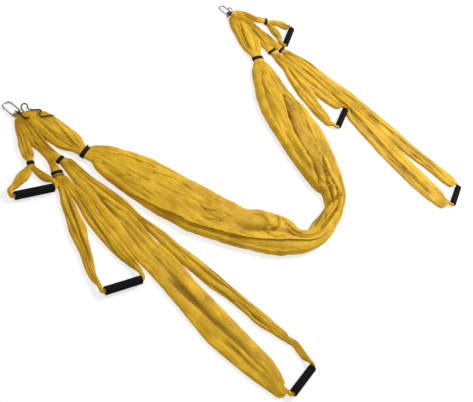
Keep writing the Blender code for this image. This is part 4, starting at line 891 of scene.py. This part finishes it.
class Look:
    """A node material being written."""

    def __init__(self, name, **constants):
        self.made = bpy.data.materials.new(name)
        self.made.use_nodes = True
        self.tree = self.made.node_tree
        self.shader = self.tree.nodes["Principled BSDF"]
        for socket, value in constants.items():
            self.shader.inputs[socket.replace("_", " ")].default_value = value

    def node(self, kind, links=None, **values):
        made = self.tree.nodes.new("ShaderNode" + kind)
        for key, value in values.items():
            if hasattr(made, key):
                setattr(made, key, value)
            else:
                made.inputs[key.replace("_", " ")].default_value = value
        for key, source in (links or {}).items():
            self.tree.links.new(source, made.inputs[key])
        return made

    def lengths(self):
        """Place on the cloth in metres, from the mesh."""
        return self.node("UVMap", uv_map="cloth").outputs[0]

    def spot(self):
        """Place in the piece in metres."""
        return self.node("TexCoord").outputs["Object"]

    def noise(self, vector, scale, detail=3.0, rough=0.55, distortion=0.0):
        values = {"Scale": scale, "Detail": detail, "Roughness": rough, "Distortion": distortion}
        return self.node("TexNoise", {"Vector": vector}, **values).outputs["Fac"]

    def wave(self, vector, scales, direction, scale, distortion=0.0):
        links, values = {"Vector": self.stretch(vector, scales)}, {"Scale": scale, "Distortion": distortion}
        return self.node("TexWave", links, bands_direction=direction, **values).outputs["Fac"]

    def cells(self, vector, feature, scale):
        return self.node("TexVoronoi", {"Vector": vector}, feature=feature, Scale=scale).outputs["Distance"]

    def connect(self, slot, value):
        if isinstance(value, (int, float)):
            slot.default_value = value
        elif isinstance(value, tuple):
            slot.default_value = (*value, 1.0)
        else:
            self.tree.links.new(value, slot)

    def math(self, operation, a, b):
        made = self.node("Math", operation=operation)
        self.connect(made.inputs[0], a)
        self.connect(made.inputs[1], b)
        return made.outputs[0]

    def grade(self, source, gain, start):
        """A value times a gain, plus a start."""
        return self.math("ADD", self.math("MULTIPLY", source, gain), start)

    def stretch(self, vector, scales):
        return self.node("Mapping", {"Vector": vector}, Scale=scales).outputs[0]

    def ramp(self, factor, stops):
        made = self.node("ValToRGB", {"Fac": factor})
        for stop, (place, colour) in zip(made.color_ramp.elements, stops):
            stop.position = place
            stop.color = (*colour, 1.0)
        return made.outputs[0]

    def mix(self, factor, a, b):
        made = self.node("Mix", data_type="RGBA")
        for slot, value in ((0, factor), (6, a), (7, b)):
            self.connect(made.inputs[slot], value)
        return made.outputs[2]

    def bump(self, height, strength, distance, normal=None):
        links = {"Height": height} if normal is None else {"Height": height, "Normal": normal}
        return self.node("Bump", links, Strength=strength, Distance=distance).outputs[0]

    def finish(self, colour, normal, roughness):
        for socket, source in (("Base Color", colour), ("Normal", normal), ("Roughness", roughness)):
            self.tree.links.new(source, self.shader.inputs[socket])
        return self.made


def cloth_look(name, seed):
    look = Look(name, Sheen_Weight=0.04, Sheen_Roughness=0.4, Sheen_Tint=GOLD_SHEEN, Specular_IOR_Level=0.17)
    uv = look.lengths()
    shift = look.node("Mapping", {"Vector": look.spot()}, Location=(seed, seed * 0.7, 0.0)).outputs[0]
    patch = look.noise(look.stretch(uv, (34.0, 11.0, 1.0)), 1.0, distortion=0.5)
    light = look.math("MULTIPLY", look.math("SUBTRACT", patch, 0.45), 1.2)
    tone = look.ramp(look.noise(shift, 15.0), GOLD_BROAD)
    tone = look.mix(look.math("MAXIMUM", light, 0.0), tone, GOLD_LIGHT)
    # Painted shade: the colour is darkened in the folds and over the eyes by the shade stored on the mesh.
    painted_shade = look.node("Attribute", attribute_name="painted_shade").outputs["Fac"]
    tone = look.mix(look.math("MULTIPLY", painted_shade, 0.90), tone, GOLD_PAINTED_SHADE)
    crinkle = look.noise(look.stretch(uv, (75.0, 30.0, 1.0)), 1.0, rough=0.5, distortion=0.8)
    crush = look.cells(look.stretch(uv, (40.0, 18.0, 1.0)), "DISTANCE_TO_EDGE", 1.0)
    crush = look.math("MINIMUM", look.math("MULTIPLY", crush, 3.0), 0.5)
    weft = look.wave(uv, (THREADS, 0.0, 0.0), "X", 0.32)
    weave = look.math("MULTIPLY", weft, look.wave(uv, (0.0, THREADS, 0.0), "Y", 0.32))
    normal = look.bump(crush, 0.30, 0.0028, look.bump(crinkle, 0.50, 0.0036))
    return look.finish(tone, look.bump(weave, 0.2, 0.0002, normal), look.grade(crinkle, 0.2, 0.46))


def webbing_look():
    look = Look("webbing", Specular_IOR_Level=0.05, Sheen_Weight=0.01, Sheen_Roughness=0.5)
    uv = look.lengths()
    ribs = look.wave(uv, (0.0, THREADS, 0.0), "Y", 0.2, distortion=1.5)
    cross = look.wave(uv, (THREADS, 0.0, 0.0), "X", 0.14)
    fuzz = look.noise(look.stretch(uv, (600.0, 300.0, 1.0)), 1.0, 4.0, 0.7)
    normal = look.bump(fuzz, 0.4, 0.0004, look.bump(look.math("MULTIPLY", ribs, cross), 0.7, 0.0005))
    return look.finish(look.ramp(fuzz, WEBBING_BLACK), normal, look.grade(fuzz, 0.3, 0.55))


def cord_look():
    look = Look("cord_cover", Specular_IOR_Level=0.06, Sheen_Weight=0.01)
    one, two = (look.wave(look.lengths(), (way * BRAIDS, BRAIDS, 0.0), "DIAGONAL", 0.22) for way in (1, -1))
    braid = look.math("MAXIMUM", one, two)
    normal = look.bump(braid, 0.4, 0.0003)
    return look.finish(look.ramp(braid, CORD_BLACK), normal, look.grade(braid, -0.15, 0.72))


def foam_look():
    look = Look("foam", Specular_IOR_Level=0.05)
    skin = look.noise(look.spot(), 180.0, 4.0, 0.6)
    pores = look.bump(look.cells(look.spot(), "F1", 1400.0), 0.35, 0.0003)
    normal = look.bump(skin, 0.25, 0.0008, pores)
    return look.finish(look.ramp(skin, FOAM_BLACK), normal, look.grade(skin, 0.25, 0.66))


def steel_look():
    look = Look("steel", Metallic=1.0)
    brushed = look.noise(look.stretch(look.spot(), (260.0, 260.0, 900.0)), 1.0)
    smear = look.noise(look.spot(), 120.0, 3.0, 0.6)
    normal = look.bump(brushed, 0.06, 0.0002)
    return look.finish(look.ramp(smear, STEEL_GREY), normal, look.grade(brushed, 0.14, 0.35))


def tube_look():
    look = Look("tube_plastic", Specular_IOR_Level=0.4)
    grain = look.noise(look.spot(), 900.0)
    normal = look.bump(grain, 0.15, 0.0002)
    return look.finish(look.ramp(grain, TUBE_BLACK), normal, look.grade(grain, 0.2, 0.4))


webbing, cord_cover, foam = webbing_look(), cord_look(), foam_look()
steel, tube_plastic = steel_look(), tube_look()


# Cords

def smooth_points(points, step):
    """Points about a step apart on a smooth curve through the given ones."""
    padded = [points[0] * 2 - points[1]] + points + [points[-1] * 2 - points[-2]]
    made = []
    for a, b, c, d in zip(padded, padded[1:], padded[2:], padded[3:]):
        count = max(1, round((c - b).length / step))
        for t in (k / count for k in range(count)):
            made.append(
                b + (c - a) * (t / 2) + (a * 2 - b * 5 + c * 4 - d) * (t * t / 2)
                + (b * 3 - a - c * 3 + d) * (t * t * t / 2)
            )
    made.append(points[-1])
    return made


def cord_turns(side):
    """Two turns of the cord on the bar, a step over the hammock's eye and half a turn beyond it."""
    bar = bar_middle(side)
    over = (eye_outer + STACK_GAP + cord_radius) / math.cos(math.pi / CORD_STEPS / 2)
    first, second, third = (bar.y + side * stack["cord_" + name] for name in "abc")

    def at(degrees, radius, y):
        angle = math.radians(degrees)
        return Vector((bar.x + radius * math.cos(angle), y, bar.z + radius * math.sin(angle)))

    made = [at(degrees, turn_radius, first) for degrees in range(0, -91, -45)]
    made += [at(-135 - 45 * k, turn_radius, first + (second - first) * k / 3) for k in range(3)]
    made += [at(degrees, turn_radius, second) for degrees in range(90, -91, -45)]
    made += [
        at(degrees, turn_radius + (over - turn_radius) * lift, second + (third - second) * share)
        for degrees, lift, share in cord_step_shares
    ]
    return made


def carried_frames(points):
    """Side and up vectors carried along a line without twist."""
    tangent = np.gradient(points, axis=0)
    tangent /= np.linalg.norm(tangent, axis=1)[:, None]
    frames = np.zeros((len(points), 2, 3))
    up = np.array([0.0, 0.0, 1.0])
    for i, t in enumerate(tangent):
        up = up - t * (up @ t)
        up /= np.linalg.norm(up)
        frames[i] = np.cross(t, up), up
    return frames


def tie_cord(name, side, loop, tail):
    """Braided cord along its loop, its turns on the bar and its tail, with rounded cut ends."""
    loop, tail = ([Vector(point) - Vector((*PLAN_CENTRE, 0)) for point in points] for points in (loop, tail))
    route = loop[::-1] + cord_turns(side) + tail
    line = np.array([tuple(p) for p in smooth_points(route, CORD_STEP)])
    psi = np.linspace(0, 2 * math.pi, CORD_SIDES)[None, :]
    long = lengths_along(line)[:, None]
    twist = long / STRAND_PITCH
    strands = np.maximum(np.cos(3 * psi + twist), np.cos(3 * psi - twist + 1.0))
    end = np.minimum(long, long[-1] - long)
    rounding = np.sqrt(np.clip(1 - np.clip(1 - end / CORD_END, 0, 1) ** 2, 0.02, 1))
    radius = cord_radius * (1 + strand_share * (strands - 1)) * rounding
    grid, painted_shade = tube(line, carried_frames(line), radius, psi)
    uv = np.stack(np.broadcast_arrays(psi * cord_radius, long), -1)
    made = add_piece(name + "_braided", [(grid, uv, painted_shade)], cord_cover, name)
    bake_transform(made)


tie_cord(
    "near_tie_cord", NEAR, NEAR_CORD_LOOP, NEAR_CORD_TAIL,
)
tie_cord(
    "far_tie_cord", FAR, FAR_CORD_LOOP, FAR_CORD_TAIL,
)


# Bands

class Neck:
    """A gathered neck: its middle, its directions and its size."""

    def __init__(self, part, place, height):
        self.width, self.height = part["neck_width"], height
        self.centre = Vector((*place, neck_base + height / 2))
        self.along = heading_way(part["heading"]).to_3d()
        self.left = Vector((-self.along.y, self.along.x, 0))
        self.up = Vector((0, 0, 1))


def wound_ring(neck, offset, width):
    """Webbing wound once round the neck and lapped over itself."""
    turns = np.linspace(0, 2 * math.pi * BAND_TURNS, BAND_POINTS)
    angle = math.radians(BAND_START) + turns
    lift = CLEARANCE + web_thickness / 2 + 0.9 * web_thickness * ease((turns - 2 * math.pi * BAND_LAP) / 0.5)
    normal = np.stack([np.cos(angle) * neck.height, np.sin(angle) * neck.width], 1)
    normal /= np.linalg.norm(normal, axis=1)[:, None]
    flat = np.stack([np.cos(angle) * neck.width / 2, np.sin(angle) * neck.height / 2], 1)
    flat += normal * lift[:, None]
    drift = offset + BAND_DRIFT * np.sin(turns + neck.centre.x * 40)
    points = [neck.centre + neck.left * a + neck.up * b + neck.along * d for (a, b), d in zip(flat, drift)]
    frames = np.array([[tuple(neck.along), tuple(neck.left * a + neck.up * b)] for a, b in normal])
    w, t = width / 2, web_thickness / 2
    return sweep(points, frames, [
        (-w, -t * 0.4), (-w * 0.9, -t), (0, -t), (w * 0.9, -t), (w, -t * 0.4), (w, t * 0.4), (w * 0.93, t),
        (w * 0.5, t * 1.08), (0, t), (-w * 0.5, t * 1.08), (-w * 0.93, t), (-w, t * 0.4),
    ])


def side_bridge(neck, width):
    """Strip at the neck's side that joins the two edges of a folded band."""
    reach = neck.width / 2 + CLEARANCE + web_thickness
    half = width * 0.45
    line = [neck.centre - neck.left * reach + neck.along * d for d in np.linspace(-half, half, 12)]
    frames = np.array([[tuple(neck.up), tuple(-neck.left)]] * len(line))
    w, t = neck.height / 6, web_thickness / 2
    return sweep(line, frames, [(-w, -t), (w, -t), (w, t), (-w, t)])


def loose_tab(neck, width, sign):
    """Cut end of the webbing that stands off the band."""
    reach = neck.width / 2 + CLEARANCE
    line = [
        neck.centre + neck.left * (reach + BAND_TAB * 1.15 * k) + neck.up * (0.0012 * math.sin(3 * k) * sign)
        + neck.along * (sign * width * 0.24 + 0.3 * sign * BAND_TAB * k) for k in np.linspace(0, 1, 14)
    ]
    frames = np.array([[tuple(neck.along), tuple(neck.up)]] * len(line))
    w, t = width * 0.19, web_thickness * 0.6
    return sweep(line, frames, [
        (-w, -t), (0, -t * 1.1), (w, -t), (w * 1.04, 0), (w, t), (0, t * 1.1), (-w, t), (-w * 1.04, 0),
    ])


def band_piece(name, neck, rings, body, width, tabs=False, bridge=False):
    """A band of rings of (offset along, width), with its bridge and loose tabs."""
    grids = [wound_ring(neck, offset, ring_width) for offset, ring_width in rings]
    if bridge:
        grids.append(side_bridge(neck, width))
    if tabs:
        grids += [loose_tab(neck, width, sign) for sign in (-1, 1)]
    add_piece(name + "_webbing", grids, webbing, name + "_band", body)


# Grips

def grip_piece(name, centre, axis, seed):
    """Foam sleeve: soft rounded ends, slight dents, open bore."""
    half, bore, edge = GRIP_LENGTH / 2, tube_outer + CLEARANCE / 2, SLEEVE_EDGE
    corner = np.radians(np.linspace(0, 90, 6))
    outline = [(bore, -half + SLEEVE_BORE), (bore, -half)]
    outline += [(grip_height - edge + edge * math.sin(a), -half + edge - edge * math.cos(a)) for a in corner]
    outline += [(grip_height, x) for x in np.linspace(-half + edge, half - edge, SLEEVE_RINGS)[1:-1]]
    outline += [(grip_height - edge + edge * math.cos(a), half - edge + edge * math.sin(a)) for a in corner]
    outline += [(bore, half), (bore, half - SLEEVE_BORE)]
    radius, along = np.array(outline).T[:, :, None]
    phi = np.linspace(0, 2 * math.pi, SLEEVE_SIDES)[None, :]
    dent = 1 + dent_share * noise(along / DENT_LENGTH, phi * 1.3, seed) * (radius > bore + 1e-4)
    dent[:, -1] = dent[:, 0]
    dent = np.minimum(dent, 1.0 + 0.2 * (dent - 1))
    axis = axis.to_3d()
    frames = np.array([[(-axis.y, axis.x, 0), (0, 0, 1)]] * len(along))
    points = np.array((*centre, grip_height)) + along * np.array(axis)
    grid, painted_shade = tube(points, frames, radius * dent, phi)
    uv = np.stack(np.broadcast_arrays(phi * grip_height, along), -1)
    made = add_piece(name + "_foam_sleeve", [(grid, uv, painted_shade)], foam, name + "_foam", name)


# Slings and hammock

def make_sling(number, name, sling):
    """Cloth, band and foam grip of one sling."""
    seed, side = FIRST_SEED + SLING_SEEDS * number, sling["side"]
    folded = name == "near_medium"
    width = FOLDED_BAND_WIDTH if folded else BAND_WIDTH
    head, place = head_rows(sling, SLING_HEIGHT, SLING_NECK_HEIGHT, width)
    loop, centre, axis = loop_rows(sling, place, width)
    head_turns, loop_turns = sling["turns"]
    creases = sling["crease_pixels"]
    grids = [
        cloth_grid(
            resample(head, HEAD_STEP), seed, SLING_STYLE, PLAIN_HEM, 1, creases, head_turns, HEAD_COLUMNS
        ),
        cloth_grid(
            resample(loop, LOOP_STEP), seed + LOOP_SEED, SLING_STYLE, PLAIN_HEM, -1, creases, loop_turns,
            LOOP_COLUMNS,
        ),
        eye_grid(side, sling["slot"]),
    ]
    look = cloth_look(name + "_nylon", number * 1.7)
    cloth = add_piece(name + "_sling_cloth", grids, look, name + "_sling", name + "_sling")
    rings = [(0.0, width)]
    if folded:
        missing = FOLDED_BAND_GAP + FOLDED_BAND_EDGE
        rings = [(-missing / 2, width - missing), ((width - FOLDED_BAND_EDGE) / 2, FOLDED_BAND_EDGE)]
    neck = Neck(sling, place, SLING_NECK_HEIGHT)
    band_piece(name, neck, rings, name + "_sling", width, tabs=name == "far_short", bridge=folded)
    grip_piece(name + "_grip", centre, axis, seed)


def make_hammock():
    """The long cloth from the near eye to the far eye, and its two bands."""
    bar = bar_middle(NEAR)
    sizes = (HAMMOCK_HEIGHT, HAMMOCK_NECK_HEIGHT, HAMMOCK_BAND_WIDTH)
    near_rows, near_place = head_rows(near_hammock, *sizes)
    far_rows, far_place = head_rows(far_hammock, *sizes)
    body = []
    for x, y, half, height in np.array(hammock_body_shares) / MM:
        place = Vector((bar.x + x * HAMMOCK_DEPTH, bar.y + y * BAR_SPAN))
        body.append((place, half * HAMMOCK_HALF_WIDTH, height * HAMMOCK_HEIGHT, 0.0, 0.0))
    flare_x, flare_y, flare_half = NECK_FLARE
    flare = Vector((flare_x - PLAN_CENTRE[0], flare_y - PLAN_CENTRE[1]))
    body[0] = (flare, flare_half, *body[0][2:])
    strip = resample(near_rows + body + far_rows[::-1], HAMMOCK_STEP)
    grids = [cloth_grid(
        strip, HAMMOCK_SEED, HAMMOCK_STYLE, HAMMOCK_HEM, -1, HAMMOCK_CREASE_PIXELS, HAMMOCK_TURNS,
        HAMMOCK_COLUMNS,
    )]
    grids += [eye_grid(side, "hammock") for side in (NEAR, FAR)]
    look = cloth_look("hammock_nylon", 0.4)
    cloth = add_piece("hammock_fabric", grids, look, "hammock_cloth", "hammock")
    near_neck = Neck(near_hammock, near_place, HAMMOCK_NECK_HEIGHT)
    far_neck = Neck(far_hammock, far_place, HAMMOCK_NECK_HEIGHT)
    ring = [(0.0, HAMMOCK_BAND_WIDTH)]
    band_piece("near_hammock", near_neck, ring, "hammock", HAMMOCK_BAND_WIDTH, tabs=True)
    band_piece("far_hammock", far_neck, ring, "hammock", HAMMOCK_BAND_WIDTH)


for number, (name, sling) in enumerate(SLINGS.items()):
    make_sling(number, name, sling)
make_hammock()
for name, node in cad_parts.items():
    solid_look = steel if "carabiner" in name or "pin" in name else tube_plastic
    if solid_look is steel or name.endswith("_tube"):
        node.data.materials.clear()
        node.data.materials.append(solid_look)


# Stage

def shown_ray(tree):
    """1 for what the camera and reflections see, 0 for what lights the object."""
    path = tree.nodes.new("ShaderNodeLightPath")
    seen = tree.nodes.new("ShaderNodeMath")
    seen.operation = "MAXIMUM"
    tree.links.new(path.outputs["Is Camera Ray"], seen.inputs[0])
    tree.links.new(path.outputs["Is Glossy Ray"], seen.inputs[1])
    return seen.outputs[0]


def grey_diffuse(tree, grey):
    made = tree.nodes.new("ShaderNodeBsdfDiffuse")
    made.inputs["Color"].default_value = (grey, grey, grey, 1)
    return made.outputs[0]


def white_floor():
    """Floor that shows white and keeps a soft shadow."""
    bpy.ops.mesh.primitive_plane_add(size=FLOOR_SIZE, location=(0, 0, -FLOOR_DROP))
    floor = bpy.context.object
    floor.name = "floor"
    look = bpy.data.materials.new("floor_white")
    look.use_nodes = True
    tree = look.node_tree
    tree.nodes.clear()
    glow = tree.nodes.new("ShaderNodeEmission")
    glow.inputs["Strength"].default_value = SEEN_GLOW
    both = tree.nodes.new("ShaderNodeAddShader")
    choose = tree.nodes.new("ShaderNodeMixShader")
    out = tree.nodes.new("ShaderNodeOutputMaterial")
    for source, slot in (
        (grey_diffuse(tree, SEEN_GREY), both.inputs[0]), (glow.outputs[0], both.inputs[1]),
        (shown_ray(tree), choose.inputs[0]), (grey_diffuse(tree, FLOOR_GREY), choose.inputs[1]),
        (both.outputs[0], choose.inputs[2]), (choose.outputs[0], out.inputs[0]),
    ):
        tree.links.new(source, slot)
    floor.data.materials.append(look)


def studio_world():
    """White where it is seen, dimmer where it lights the object."""
    world = bpy.data.worlds.new("studio")
    bpy.context.scene.world = world
    world.use_nodes = True
    tree = world.node_tree
    level = tree.nodes.new("ShaderNodeMapRange")
    level.inputs["To Min"].default_value = WORLD_LIGHT
    tree.links.new(shown_ray(tree), level.inputs["Value"])
    back = tree.nodes["Background"]
    tree.links.new(level.outputs[0], back.inputs["Strength"])
    back.inputs["Color"].default_value = (1, 1, 1, 1)


def lamp(name, place, size, power):
    """Round soft lamp aimed at the middle of the floor."""
    data = bpy.data.lights.new(name, "AREA")
    data.shape = "DISK"
    data.size = size
    data.energy = power
    made = bpy.data.objects.new(name, data)
    bpy.context.scene.collection.objects.link(made)
    made.location = place
    made.rotation_mode = "QUATERNION"
    made.rotation_quaternion = (-Vector(place)).to_track_quat("-Z", "Y")


white_floor()
studio_world()
lamp("key", (0.6, 2.8, 2.9), 1.6, 140)
lamp("fill", (-2.5, -1.5, 3.2), 2.5, 26)
